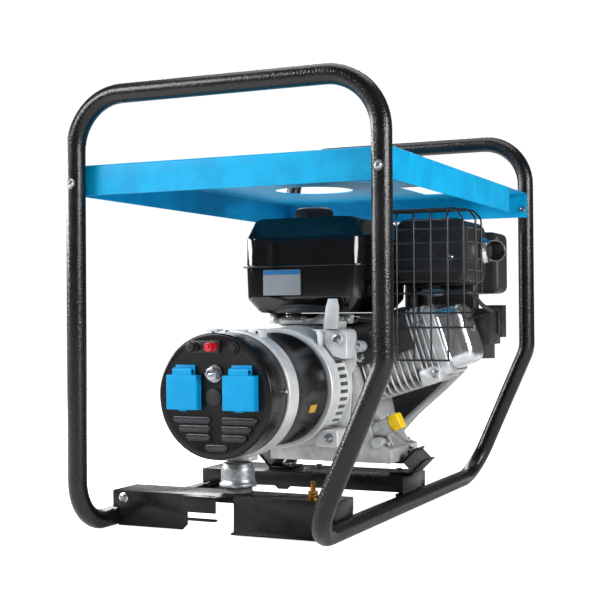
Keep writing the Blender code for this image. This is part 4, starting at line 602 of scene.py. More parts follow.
    @staticmethod
    def dome_bolt(place: Place, direction: Vector, radius: float = 0.006, height: float = 0.0045) -> bpy.types.Object:
        """Domed bolt head with a recess, drawn from its seat outwards."""
        rise = [(radius * math.cos(a), height * math.sin(a)) for a in (0.0, 0.35, 0.7, 1.0, 1.25)]
        head = Bench.lathe([(radius, -0.0004), *rise], (0, 0, 0), Axis.Z, 28)
        recess = Bench.slab(ngon((0.0, 0.0), radius * 0.36, 6), height * 0.45, height + 0.002, Axis.Z)
        Bench.boolean(head, recess)
        turn = Vector((0.0, 0.0, 1.0)).rotation_difference(Vector(direction)).to_matrix().to_4x4()
        return Bench.move(head, Matrix.Translation(Vector(place)) @ turn)

    @staticmethod
    def deliver(piece: bpy.types.Object, name: str, finish: Finish, body: str = "set", nodes: Sequence[str] = (),
                smooth: float = 38.0) -> bpy.types.Object:
        """Name, smooth and dress a piece, and put it on its CAD body.

        Args:
            piece: The finished mesh object.
            name: The piece's name.
            finish: Its finish.
            body: CAD body that it moves with.
            nodes: CAD nodes that it stands for.
            smooth: Angle in degrees over which an edge stays sharp.

        Returns:
            The piece.
        """
        Bench.pick(piece)
        bpy.ops.object.shade_smooth_by_angle(angle=math.radians(smooth))
        piece.name = name
        piece.data.name = name
        piece.data.materials.clear()
        piece.data.materials.append(finish.material())
        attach(piece, body)
        if nodes:
            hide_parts(*nodes)
        LOG.info("%s: %d faces in %s, on %s", name, len(piece.data.polygons), finish.name, body)
        return piece


@dataclass
class TubeFrame:
    """Two hoops and two bottom rails, bent from one bore of tube, with the cover's clamp bolts."""

    radius: float = 0.01393
    hoop_y: float = 0.3745
    post_x: float = 0.2345
    right_rail_x: float = 0.1308
    rail_z: float = 0.014
    top_z: float = 0.6283
    knee_z: float = 0.2475
    foot_bend: float = 0.064
    knee_bend: float = 0.060
    top_bend: float = 0.078
    bolt_z: float = 0.503

    def build(self) -> None:
        """Build every piece of the frame."""
        self.tube()
        self.welds()
        self.bolts()

    def tube(self) -> None:
        """One endless run of tube: rail, front hoop, rail, rear hoop."""
        y, x, z = self.hoop_y, self.post_x, self.rail_z
        half = [(-x, -y, z), (-x, -y, self.top_z), (x, -y, self.top_z), (x, -y, self.knee_z),
                (self.right_rail_x, -y, z)]
        back = [(px, -py, pz) for px, py, pz in reversed(half)]
        bends = [self.foot_bend, self.top_bend, self.top_bend, self.knee_bend, self.foot_bend]
        loop = Bench.tube([*half, *back], self.radius, [*bends, *reversed(bends)], 14, True, 10)
        Bench.deliver(loop, "tube_frame", TUBE_COAT, nodes=("front_hoop", "rear_hoop", "left_rail", "right_rail"),
                      smooth=60.0)

    def welds(self) -> None:
        """Weld beads where the crossmembers sit on the rails."""
        beads = []
        for x, side in ((-self.post_x, 1.0), (self.right_rail_x, -1.0)):
            for y0, y1 in ((-0.288, -0.226), (-0.012, 0.093)):
                ripples = int((y1 - y0) / 0.0035)
                for step in range(ripples):
                    y = y0 + (y1 - y0) * (step + 0.5) / ripples
                    beads.append((x + side * 0.0118, y, self.rail_z + 0.0118))
        ripple = Bench.lathe([(0.0012, -0.0018), (0.0026, -0.0010), (0.0030, 0.0), (0.0026, 0.0010),
                              (0.0012, 0.0018)],
                             (0, 0, 0), Axis.Y, 10)
        run = Bench.spread(ripple, [Matrix.Translation(place) for place in beads])
        Bench.deliver(run, "frame_welds", TUBE_COAT)

    def bolts(self) -> None:
        """Domed clamp bolts through the posts, each with its washer and its nut inside the cover's lip."""
        for end, side in (("front", -1.0), ("rear", 1.0)):
            for hand, x in (("left", -self.post_x), ("right", self.post_x)):
                way = Vector((0.0, side, 0.0))
                seat = side * (self.hoop_y + 0.0140)
                washer = Bench.lathe([(0.0072, -0.0012), (0.0072, 0.0), (0.0034, 0.0), (0.0034, -0.0012)],
                                     (x, seat, self.bolt_z), way, 32, ring=True)
                head = Bench.dome_bolt((x, seat, self.bolt_z), way, 0.0060, 0.0048)
                shank = Bench.lathe([(0.0029, 0.0), (0.0029, 0.0352)], (x, seat, self.bolt_z), -way, 16)
                nut = Bench.slab(ngon((x, self.bolt_z), 0.0057, 6), side * 0.3576, side * 0.3526)
                Bench.soften(nut, 0.0006, 2)
                Bench.deliver(Bench.join([head, washer, shank, nut]), f"clamp_bolt_{end}_{hand}", ZINC,
                              nodes=(f"cover_bolt_{end}_{hand}",))


@dataclass
class TopCover:
    """Folded sheet cover with its cap hole, heat cut-out and slots."""

    half_x: float = 0.2430
    end_y: float = 0.3602
    top_z: float = 0.532
    bottom: float = 0.488
    sheet: float = 0.002
    fold: float = 0.0042
    corner: float = 0.0060
    lip_end_y: float = 0.225
    cap: tuple[float, float] = (-0.077, 0.118)
    cap_r: float = 0.069
    heat: tuple[float, float, float, float] = (0.070, 0.160, 0.140, 0.290)
    slots: tuple[float, float] = (0.118, 0.045)
    post_x: float = 0.2345

    def build(self) -> None:
        """Fold the sheet, then cut the cap hole, the heat cut-out, the slots and the bolt holes."""
        shell = self.pan(0.0)
        cutters = [self.pan(self.sheet)]
        cutters.append(Bench.block((self.half_x - 0.010, self.lip_end_y, self.bottom - 0.01),
                                   (self.half_x + 0.01, self.end_y - self.sheet, self.top_z - self.sheet)))
        over = self.top_z + 0.01
        cutters.append(Bench.lathe([(self.cap_r, self.bottom), (self.cap_r, over)], (*self.cap, 0.0), sides=80))
        x0, x1, y0, y1 = self.heat
        cutters.append(Bench.slab(oblong(((x0 + x1) / 2, (y0 + y1) / 2), x1 - x0, y1 - y0, 0.004), self.bottom, over,
                                  Axis.Z))
        for column in range(5):
            for row in range(4):
                spot = (self.slots[0] + (column - 2) * 0.032, self.slots[1] + (row - 1.5) * 0.036)
                cutters.append(Bench.slab(oblong(spot, 0.022, 0.008, 0.0039, 4), self.bottom, over, Axis.Z))
        for x in (-self.post_x, self.post_x):
            for side in (-1.0, 1.0):
                cutters.append(Bench.lathe([(0.0036, -0.01), (0.0036, 0.01)], (x, side * self.end_y, 0.503), Axis.Y,
                                           16))
        for cutter in cutters:
            Bench.boolean(shell, cutter)
        Bench.deliver(shell, "cover_sheet", BLUE_COAT, nodes=("top_cover",), smooth=40.0)

    def pan(self, inset: float) -> bpy.types.Object:
        """Box with rounded folds: the outside of the cover, or its inside when it is inset."""
        x, y = self.half_x - inset, self.end_y - inset
        low = self.bottom - (0.01 if inset else 0.0)
        piece = Bench.block((-x, -y, low), (x, y, self.top_z - inset))
        self.round_edges(piece, self.corner - inset, lambda a, b: abs(a.z - b.z) > 0.02)
        self.round_edges(piece, self.fold - inset, lambda a, b: min(a.z, b.z) > self.top_z - inset - 1e-4)
        return piece

    @staticmethod
    def round_edges(piece: bpy.types.Object, width: float, wanted: Callable[[Vector, Vector], bool]) -> None:
        """Bevel the edges that a test picks out.

        Args:
            piece: The sheet.
            width: Width of the rounding.
            wanted: Test of an edge's two ends.
        """
        Bench.open(piece)
        bpy.ops.mesh.select_all(action="DESELECT")
        bpy.ops.mesh.select_mode(type="EDGE")
        bpy.ops.object.mode_set(mode="OBJECT")
        spots = [vertex.co for vertex in piece.data.vertices]
        for edge in piece.data.edges:
            edge.select = bool(wanted(spots[edge.vertices[0]], spots[edge.vertices[1]]))
        bpy.ops.object.mode_set(mode="EDIT")
        bpy.ops.mesh.bevel(offset=width, segments=5, affect="EDGES")
        bpy.ops.mesh.select_mode(type="VERT")
        bpy.ops.object.mode_set(mode="OBJECT")


@dataclass
class Crossmembers:
    """Folded channels between the rails, with their bolts, the brass terminal and the rubber mounts."""

    top_z: float = 0.054
    front_y: float = -0.290
    cup: tuple[float, float] = (-0.042, -0.246)
    terminal: tuple[float, float] = (0.085, -0.262)

    def build(self) -> None:
        """Build the channels and everything that stands on them."""
        for node in ("front_crossmember", "rear_crossmember"):
            piece = Bench.soften(Bench.node(node), 0.0009, 2, 40.0)
            Bench.deliver(piece, f"{node}_sheet", SHEET_COAT, nodes=(node,), smooth=44.0)
        self.bolts()
        self.brass_terminal()
        self.alternator_mount()
        self.engine_mounts()

    def bolts(self) -> None:
        """Hexagon bolts that hold the crossmembers and the mounts."""
        up = Vector((0.0, 0.0, 1.0))
        places = [((-0.2105, self.front_y - 0.0002, 0.043), Vector((0.0, -1.0, 0.0)), 0.010)]
        places += [((x, y, self.top_z), up, 0.010) for x, y in ((-0.050, 0.020), (-0.050, 0.070))]
        heads = [Bench.hex_bolt(place, way, size) for place, way, size in places]
        Bench.deliver(Bench.join(heads), "crossmember_bolts", ZINC)

    def brass_terminal(self) -> None:
        """Brass stud with two washers, two hexagon nuts and a threaded end."""
        x, y = self.terminal
        base = self.top_z + 0.0003
        parts = [Bench.lathe([(0.0088, 0.0), (0.0088, 0.0014), (0.0044, 0.0014)], (x, y, base), sides=32)]
        for low, high in ((0.0014, 0.0064), (0.0068, 0.0108)):
            nut = Bench.slab(ngon((x, y), 0.0072, 6, 0.3), base + low, base + high, Axis.Z)
            parts.append(Bench.soften(nut, 0.0006, 2))
        thread = [(0.0036 if k % 2 else 0.0040, 0.0108 + 0.0006 * k) for k in range(22)]
        parts.append(Bench.lathe([*thread, (0.0030, 0.0242)], (x, y, base), sides=24))
        parts.append(Bench.lathe([(0.0060, 0.0), (0.0065, -0.0008), (0.0065, -0.0055), (0.0055, -0.0063)],
                                 (x, y, self.top_z - 0.0033), sides=24))
        Bench.deliver(Bench.join(parts), "brass_terminal_stud", BRASS, nodes=("earth_terminal",))

    def alternator_mount(self) -> None:
        """Rubber buffer in its pressed zinc bell."""
        base = (*self.cup, 0.0)
        rubber = Bench.lathe([(0.0220, 0.0545), (0.0225, 0.0550), (0.0208, 0.0585), (0.0208, 0.0615),
                              (0.0225, 0.0645),
                              (0.0225, 0.0675)], base, sides=48)
        Bench.deliver(rubber, "alternator_buffer", MOUNT_RUBBER, nodes=("alternator_mount_rubber",))
        bell = Bench.lathe([(0.0232, 0.0685), (0.0232, 0.0640), (0.0272, 0.0640), (0.0276, 0.0648), (0.0276, 0.0674),
                            (0.0268, 0.0688), (0.0252, 0.0704), (0.0248, 0.0760), (0.0247, 0.0890), (0.0238, 0.0925),
                            (0.0224, 0.0945), (0.0221, 0.0970), (0.0205, 0.0983)], base, sides=56)
        Bench.deliver(bell, "alternator_bell", CLOUDY_ZINC, nodes=("alternator_mount_cup",), smooth=50.0)

    def engine_mounts(self) -> None:
        """Rubber sandwich mounts that lean outwards, with bonded plates and their bolts."""
        half, thick, plate, width = 0.014, 0.0105, 0.003, 0.023
        low = self.top_z + 0.0003
        height = low + 0.0004 + (half + plate + thick + plate) * math.sin(math.radians(45.0))
        for hand, x, side in (("right", 0.135, 1.0), ("left", -0.121, -1.0)):
            place = Matrix.Translation((x, 0.045, height)) @ Matrix.Rotation(-side * math.radians(45.0), 4, "Y")
            core = Bench.block((-half, -width, -thick), (half, width, thick), 0.0015)
            Bench.move(core, place)
            plates = []
            for z0, z1 in ((-thick - plate, -thick), (thick, thick + plate)):
                sheet = Bench.block((-half - plate, -width - 0.003, z0), (half + plate, width + 0.003, z1), 0.0009)
                plates.append(Bench.move(sheet, place))
            foot_x = sorted((x - side * 0.040, x + side * 0.001))
            plates.append(Bench.block((foot_x[0], 0.020, low), (foot_x[1], 0.070, low + 0.004), 0.0009))
            tab_x = sorted((x - side * 0.045, x - side * 0.0165))
            plates.append(Bench.block((tab_x[0], 0.020, 0.0722), (tab_x[1], 0.070, 0.0762), 0.0009))
            bolt = Bench.hex_bolt((x - side * 0.032, 0.045, low + 0.004), Vector((0.0, 0.0, 1.0)), 0.009, 0.004)
            Bench.deliver(core, f"engine_mount_rubber_{hand}", MOUNT_RUBBER, nodes=(f"engine_mount_{hand}",))
            Bench.deliver(Bench.join(plates), f"engine_mount_plates_{hand}", SHEET_COAT)
            Bench.deliver(bolt, f"engine_mount_bolt_{hand}", ZINC)


@dataclass
class Alternator:
    """Alternator body: brackets, stator and the rotor inside them."""

    ring_y: float = -0.2502
    ring_length: float = 0.033
    stator_y: float = -0.2169
    drive_y: float = -0.0946
    drive_end_y: float = -0.0206
    slots: int = 12

    def at(self, dx: float, y: float, dz: float) -> Vector:
        """Point from the crank line."""
        return Vector((CRANK.x + dx, y, CRANK.z + dz))

    def build(self) -> None:
        """Build the pieces of the alternator body."""
        self.rear_ring()
        self.stator()
        self.drive_bracket()
        for node, finish in (("rotor", LAMINATION), ("rear_bearing", STEEL)):
            piece = Bench.soften(Bench.node(node), 0.0005, 1, 50.0)
            Bench.deliver(piece, f"{node}_turned", finish, "crank" if node == "rotor" else "set", (node,))

    def rear_ring(self) -> None:
        """Cast ring with machined faces, top lugs, bearing spider and cross-head screws."""
        y = self.ring_y
        end = self.ring_length
        ring = Bench.lathe([(0.0832, 0.0), (0.0930, 0.0), (0.0940, 0.0006), (0.0948, 0.0020), (0.0950, 0.0040),
                            (0.0950, end - 0.0030), (0.0946, end - 0.0010), (0.0936, end), (0.0832, end)],
                           (CRANK.x, y, CRANK.z), Axis.Y, 96, ring=True)
        parts = [ring]
        for x0, x1 in ((-0.046, -0.026), (0.026, 0.046)):
            lug = Bench.block(self.at(x0, y + 0.004, 0.079), self.at(x1, y + 0.027, 0.0955), 0.0018)
            hole = Bench.lathe([(0.0022, -0.01), (0.0022, 0.05)], self.at((x0 + x1) / 2 + 0.004, y, 0.0905),
                               Axis.Y, 16)
            parts.append(Bench.boolean(lug, hole))
        parts.append(Bench.block(self.at(-0.029, y + 0.003, -0.0985), self.at(0.029, y + end - 0.003, -0.086),
                                 0.0025))
        for turn in (45.0, 135.0, 225.0, 315.0):
            arm = Bench.block((0.024, -0.005, -0.008), (0.086, 0.005, 0.008), 0.002)
            place = Matrix.Translation(self.at(0.0, y + 0.013, 0.0)) @ Matrix.Rotation(math.radians(turn), 4, "Y")
            parts.append(Bench.move(arm, place))
        parts.append(Bench.lathe([(0.0213, 0.006), (0.028, 0.006), (0.028, 0.024), (0.0213, 0.024)],
                                 (CRANK.x, y, CRANK.z), Axis.Y, 48, ring=True))
        Bench.deliver(Bench.join(parts), "rear_bracket_casting", BRACKET_CASTING, nodes=("rear_bracket",))
        screws = []
        for turn in (4.0, 94.0, 184.0, 274.0):
            way = Vector((math.cos(math.radians(turn)), 0.0, math.sin(math.radians(turn))))
            seat = self.at(way.x * 0.0912, y - 0.0035, way.z * 0.0912)
            head = Bench.dome_bolt((0, 0, 0), Vector((0, 0, 1)), 0.0048, 0.0034)
            for size in ((0.0008, 0.0042), (0.0042, 0.0008)):
                cross = Bench.block((-size[0], -size[1], 0.0012), (size[0], size[1], 0.006))
                Bench.boolean(head, cross)
            aim = Vector((0.0, 0.0, 1.0)).rotation_difference(way).to_matrix().to_4x4()
            screws.append(Bench.move(head, Matrix.Translation(seat) @ aim))
        Bench.deliver(Bench.join(screws), "drum_screws", ZINC)

    def stator(self) -> None:
        """Stator in its enamelled skin, with rolled ends and a plain sticker."""
        length = 0.122
        profile = [(0.056, 0.0), (0.0862, 0.0), (0.0880, 0.0014), (0.0880, 0.0080), (0.0872, 0.0092),
                   (0.0872, length - 0.0092), (0.0880, length - 0.0080), (0.0880, length - 0.0014),
                   (0.0862, length), (0.056, length)]
        skin = Bench.lathe(profile, (CRANK.x, self.stator_y, CRANK.z), Axis.Y, 96, ring=True)
        Bench.deliver(skin, "stator_skin", STATOR_PAINT, nodes=("stator",), smooth=60.0)
        arc = [(0.0876 * math.cos(math.radians(a)), 0.0876 * math.sin(math.radians(a))) for a in range(-22, -13, 2)]
        inner = [(x * 0.9935, z * 0.9935) for x, z in reversed(arc)]
        patch = Bench.slab([(CRANK.x + x, CRANK.z + z) for x, z in arc + inner], self.stator_y + 0.062,
                           self.stator_y + 0.086)
        Bench.deliver(patch, "stator_sticker", STICKER)

    def drive_bracket(self) -> None:
        """Cast bracket with a machined band, a slotted throat, bolt bosses and feet."""
        y, end = self.drive_y, self.drive_end_y
        length = end - y
        body = Bench.lathe([(0.0860, 0.0), (0.0940, 0.0), (0.0950, 0.0010), (0.0950, 0.0120), (0.0938, 0.0130),
                            (0.0938, 0.0300), (0.0950, 0.0320), (0.0965, length - 0.010), (0.0990, length - 0.001),
                            (0.0990, length), (0.0780, length), (0.0780, length - 0.006), (0.0860, length - 0.009)],
                           (CRANK.x, y, CRANK.z), Axis.Y, 96, ring=True)
        cutters = []
        for side in (0.0, 180.0):
            for index in range(self.slots):
                angle = side + (index - (self.slots - 1) / 2) * 7.3
                slot = Bench.block((0.080, 0.034, -0.0029), (0.112, length - 0.013, 0.0029))
                place = Matrix.Translation((CRANK.x, y, CRANK.z)) @ Matrix.Rotation(-math.radians(angle), 4, "Y")
                cutters.append(Bench.move(slot, place))
        Bench.boolean(body, Bench.join(cutters))
        half, top = 0.107, 0.0925
        outline = fillet(((-half, top), (half, top), (half, 0.040), (0.0985, 0.020), (0.0985, -0.020),
                          (0.094, -0.062),
                          (0.060, -0.0942), (-0.060, -0.0942), (-0.094, -0.062), (-0.0985, -0.020), (-0.0985, 0.020),
                          (-half, 0.040)), [0.010, 0.010, 0.012, 0.01])
        flange = Bench.slab([(CRANK.x + u, CRANK.z + v) for u, v in outline], end - 0.0075, end - 0.0002)
        bore = Bench.lathe([(0.0780, -0.02), (0.0780, 0.02)], (CRANK.x, end, CRANK.z), Axis.Y, 64)
        parts = [body, Bench.soften(Bench.boolean(flange, bore), 0.0014, 2)]
        for side in (-1.0, 1.0):
            corner = [(side * half, top), (side * 0.050, top), (side * 0.062, 0.0765), (side * 0.083, 0.0500),
                      (side * half, 0.0440)]
            wedge = Bench.slab([(CRANK.x + u, CRANK.z + v) for u,
                                v in fillet(corner, [0.008, 0.004, 0.003, 0.004, 0.006])],
                               y + 0.030, end - 0.006)
            parts.append(Bench.soften(wedge, 0.0022, 3))
            rib = Bench.block(self.at(side * 0.066 - 0.002, y + 0.012, 0.064),
                              self.at(side * 0.066 + 0.002, y + 0.032, 0.0900),
                              0.0012)
            parts.append(rib)
            low_x = sorted((side * 0.060, side * 0.097))
            foot = Bench.block(self.at(low_x[0], y + 0.014, -0.0920), self.at(low_x[1], end - 0.002, -0.0650), 0.0022)
            parts.append(foot)
            boss = Bench.lathe([(0.0092, 0.0), (0.0092, 0.006), (0.0084, 0.0068)],
                               self.at(side * 0.0925, y + 0.031, 0.0775), -Axis.Y.value, 32)
            parts.append(boss)
        Bench.deliver(Bench.join(parts), "drive_bracket_casting", BRACKET_CASTING, nodes=("drive_end_bracket",))
        bolts = [Bench.hex_bolt(self.at(side * 0.0925, y + 0.0242, 0.0775), Vector((0.0, -1.0, 0.0)), 0.010, 0.0052)
                 for side in (-1.0, 1.0)]
        bolts += [Bench.hex_bolt(self.at(side * 0.082, y + 0.014, -0.078), Vector((0.0, -1.0, 0.0)), 0.010, 0.005)
                  for side in (-1.0, 1.0)]
        Bench.deliver(Bench.join(bolts), "drive_bracket_bolts", ZINC)


@dataclass
class ControlPanel:
    """Round end cover with mains sockets, charging posts, breaker, earth screw and louvres."""

    face_y: float = -0.303
    drum_r: float = 0.091
    depth: float = 0.0525
    socket_x: float = 0.0455
    socket_z: float = 0.006
    louvre_height: float = 0.0095

    def at(self, dx: float, dy: float, dz: float) -> Vector:
        """Point from the middle of the panel's face."""
        return Vector((CRANK.x + dx, self.face_y + dy, CRANK.z + dz))

    def build(self) -> None:
        """Build the panel and its fittings."""
        self.drum()
        self.louvres()
        for hand, side in (("left", -1.0), ("right", 1.0)):
            self.socket(hand, side)
        self.charging_posts()
        self.breaker()
        self.earth_screw()

    def drum(self) -> None:
        """Pressed drum with a rolled front edge and a bead at its open end."""
        r, d = self.drum_r, self.depth
        roll = 0.0034
        edge = [(r - roll + roll * math.sin(a), roll - roll * math.cos(a)) for a in (0.0, 0.4, 0.8, 1.2, 1.57)]
        profile = [(0.0800, 0.0), (0.0818, -0.0003), *edge, (r, 0.008), (r, d - 0.006), (r - 0.0006, d - 0.004),
                   (r, d - 0.002), (r, d), (r - 0.002, d), (r - 0.002, 0.006), (r - 0.006, 0.002)]
        shell = Bench.lathe(profile, (CRANK.x, self.face_y, CRANK.z), Axis.Y, 112)
        holes = [Bench.lathe([(0.0218, -0.02), (0.0218, 0.02)], self.at(side * self.socket_x, 0.0, self.socket_z),
                             Axis.Y, 40) for side in (-1.0, 1.0)]
        Bench.boolean(shell, Bench.join(holes))
        Bench.deliver(shell, "panel_drum", PANEL_PAINT, nodes=("panel_cover",), smooth=34.0)

    def louvres(self) -> None:
        """Pressed louvres: solid capsule hoods, each with a dark strip along its lower edge as painted shade for the
        opening.
        """
        rows = [(-0.033, 0.063, 0.059), (-0.0455, 0.054, 0.050), (-0.058, 0.042, 0.042)]
        spans = [(z, -0.004 - left, -0.004) for z, left, _ in rows]
        spans += [(z, 0.011, 0.011 + right) for z, _, right in rows]
        spans.append((-0.0725, -0.015, 0.023))
        hoods, shade_strips = [], []
        h = self.louvre_height
        for z, x0, x1 in spans:
            x0, x1 = x0 + 0.0012, x1 - 0.0012
            middle = ((x0 + x1) / 2 + CRANK.x, z + CRANK.z)
            hood = Bench.slab(oblong(middle, x1 - x0, h, h * 0.499, 10), self.face_y + 0.0008, self.face_y - 0.0042)
            hoods.append(Bench.soften(hood, 0.0036, 5, 60.0))
            # Painted shade: a dark strip stands in for the shaded slit under each hood.
            shade_strips.append(Bench.slab(oblong((middle[0], middle[1] - h * 0.5), x1 - x0 - h * 0.7, 0.0022, 0.001, 4),
                                     self.face_y - 0.0030, self.face_y - 0.0002))
        Bench.deliver(Bench.join(hoods), "panel_louvres", LOUVRE_SHEEN_PAINT, smooth=60.0)
        Bench.deliver(Bench.join(shade_strips), "panel_louvre_shade_strips", RUBBER)

    def socket(self, hand: str, side: float) -> None:
        """One flush socket and its sprung lid.

        Args:
            hand: Word for the side, as in the CAD node names.
            side: -1 for the left socket, 1 for the right one.
        """
        x, z = side * self.socket_x, self.socket_z
        base = Bench.soften(Bench.node(f"socket_{hand}"), 0.0006, 2, 40.0)
        Bench.deliver(base, f"socket_base_{hand}", BLUE_NYLON, nodes=(f"socket_{hand}",))
        front, back = -0.0151, -0.0036
        lid = Bench.slab(oblong((CRANK.x + x, CRANK.z + z), 0.050, 0.050, 0.0022, 4), self.face_y + back,
                         self.face_y + front)
        Bench.soften(lid, 0.0016, 3)
        dish = Bench.block(self.at(x - 0.0225, front + 0.003, z - 0.0225),
                           self.at(x + 0.0225, back + 0.01, z + 0.0195))
        Bench.boolean(lid, dish)
        axle_y, axle_z = -0.0093, z + 0.031
        tab = Bench.slab(oblong((CRANK.x + x, CRANK.z + z + 0.0275), 0.031, 0.0100, 0.0008, 3), self.face_y - 0.0052,
                         self.face_y - 0.0136)
        Bench.soften(tab, 0.0010, 3)
        barrel = Bench.lathe([(0.0040, -0.0155), (0.0046, -0.0149), (0.0046, 0.0149), (0.0040, 0.0155)],
                             self.at(x, axle_y, axle_z), Axis.X, 32)
        lip = Bench.slab(oblong((CRANK.x + x, CRANK.z + z - 0.0252), 0.0135, 0.0034, 0.0016, 5), self.face_y - 0.0125,
                         self.face_y - 0.0082)
        Bench.soften(lip, 0.0008, 2)
        parts = Bench.join([lid, tab, barrel, lip])
        Bench.deliver(parts, f"lid_{hand}_moulding", BLUE_NYLON, f"lid_{hand}", (f"socket_lid_{hand}",))

    def charging_posts(self) -> None:
        """Red and black charging knobs on their insulating base."""
        base = Bench.slab(oblong((CRANK.x - 0.013, CRANK.z + 0.071), 0.048, 0.018, 0.004, 6), self.face_y - 0.0003,
                          self.face_y - 0.0043)
        studs = [Bench.lathe([(0.0025, 0.0), (0.0025, 0.018)], self.at(dx, -0.0042, 0.071), -Axis.Y.value, 16)
                 for dx in (0.002, -0.028)]
        Bench.deliver(Bench.join([Bench.soften(base, 0.0008, 2), *studs]), "charging_base", BLACK_NYLON,
                      nodes=("dc_terminal_base",))
        for hand, dx, finish in (("red", 0.002, RED_ABS), ("black", -0.028, BLACK_NYLON)):
            centre = self.at(dx, 0.0, 0.071)
            flutes = []
            for k in range(48):
                reach = 0.0070 if k % 4 in (0, 1) else 0.0063
                angle = 2 * math.pi * k / 48
                flutes.append((centre.x + reach * math.cos(angle), centre.z + reach * math.sin(angle)))
            grip = Bench.slab(flutes, self.face_y - 0.0128, self.face_y - 0.0226)
            Bench.soften(grip, 0.0008, 2, 60.0)
            collar = Bench.lathe([(0.0062, 0.0048), (0.0070, 0.0054), (0.0070, 0.0104), (0.0052, 0.0112),
                                  (0.0052, 0.0130)], centre, -Axis.Y.value, 36)
            pip = Bench.lathe([(0.0022, 0.0215), (0.0022, 0.0232), (0.0014, 0.0236)], centre, -Axis.Y.value, 20)
            Bench.deliver(Bench.join([grip, collar, pip]), f"charging_knob_{hand}", finish, f"knob_{hand}",
                          (f"dc_knob_{hand}",))

    def breaker(self) -> None:
        """Push-to-reset breaker with its threaded ring nut and button."""
        centre = self.at(0.032, 0.0, 0.069)
        ring = Bench.lathe([(0.0053, 0.0003), (0.0085, 0.0003), (0.0085, 0.0024), (0.0078, 0.0034), (0.0062, 0.0034),
                            (0.0060, 0.0044), (0.0053, 0.0044)], centre, -Axis.Y.value, 40, ring=True)
        seat = Bench.lathe([(0.0057, 0.0), (0.0057, 0.018)], centre, Axis.Y, 24)
        Bench.deliver(Bench.join([ring, seat]), "breaker_ring", BLACK_NYLON, nodes=("breaker_body",))
        button = Bench.lathe([(0.0050, -0.0120), (0.0050, 0.0064), (0.0046, 0.0070), (0.0034, 0.0070),
                              (0.0030, 0.0066)], centre, -Axis.Y.value, 32)
        Bench.deliver(button, "breaker_push", BLACK_NYLON, "reset_button", ("breaker_button",))

    def earth_screw(self) -> None:
        """Earth screw with two washers, a locknut and a wing-faced nut, and the blanking plug below it."""
        centre = self.at(0.002, 0.0, 0.033)
        parts = [Bench.lathe([(0.0118, 0.0003), (0.0124, 0.0009), (0.0124, 0.0030), (0.0060, 0.0032)], centre,
                             -Axis.Y.value, 40)]
        for start, end, across in ((0.0032, 0.0082, 0.0092), (0.0090, 0.0136, 0.0100)):
            nut = Bench.slab(ngon((centre.x, centre.z), across, 6, 0.35), self.face_y - start, self.face_y - end)
            parts.append(Bench.soften(nut, 0.0010, 3))
        parts.append(Bench.lathe([(0.0105, 0.0082), (0.0105, 0.0091)], centre, -Axis.Y.value, 36))
        thread = [(0.0032 if k % 2 else 0.0036, 0.0130 + 0.0006 * k) for k in range(21)]
        parts.append(Bench.lathe([*thread, (0.0026, 0.0262)], centre, -Axis.Y.value, 24))
        Bench.deliver(Bench.join(parts), "earth_screw", ZINC, nodes=("earth_stud",))
        plug = Bench.lathe([(0.0130, 0.0003), (0.0130, 0.0016), (0.0124, 0.0028), (0.0106, 0.0036), (0.0070, 0.0042),
                            (0.0030, 0.0045)], self.at(0.0, 0.0, -0.001), -Axis.Y.value, 48)
        Bench.deliver(plug, "blanking_plug", RUBBER, nodes=("centre_plug",))


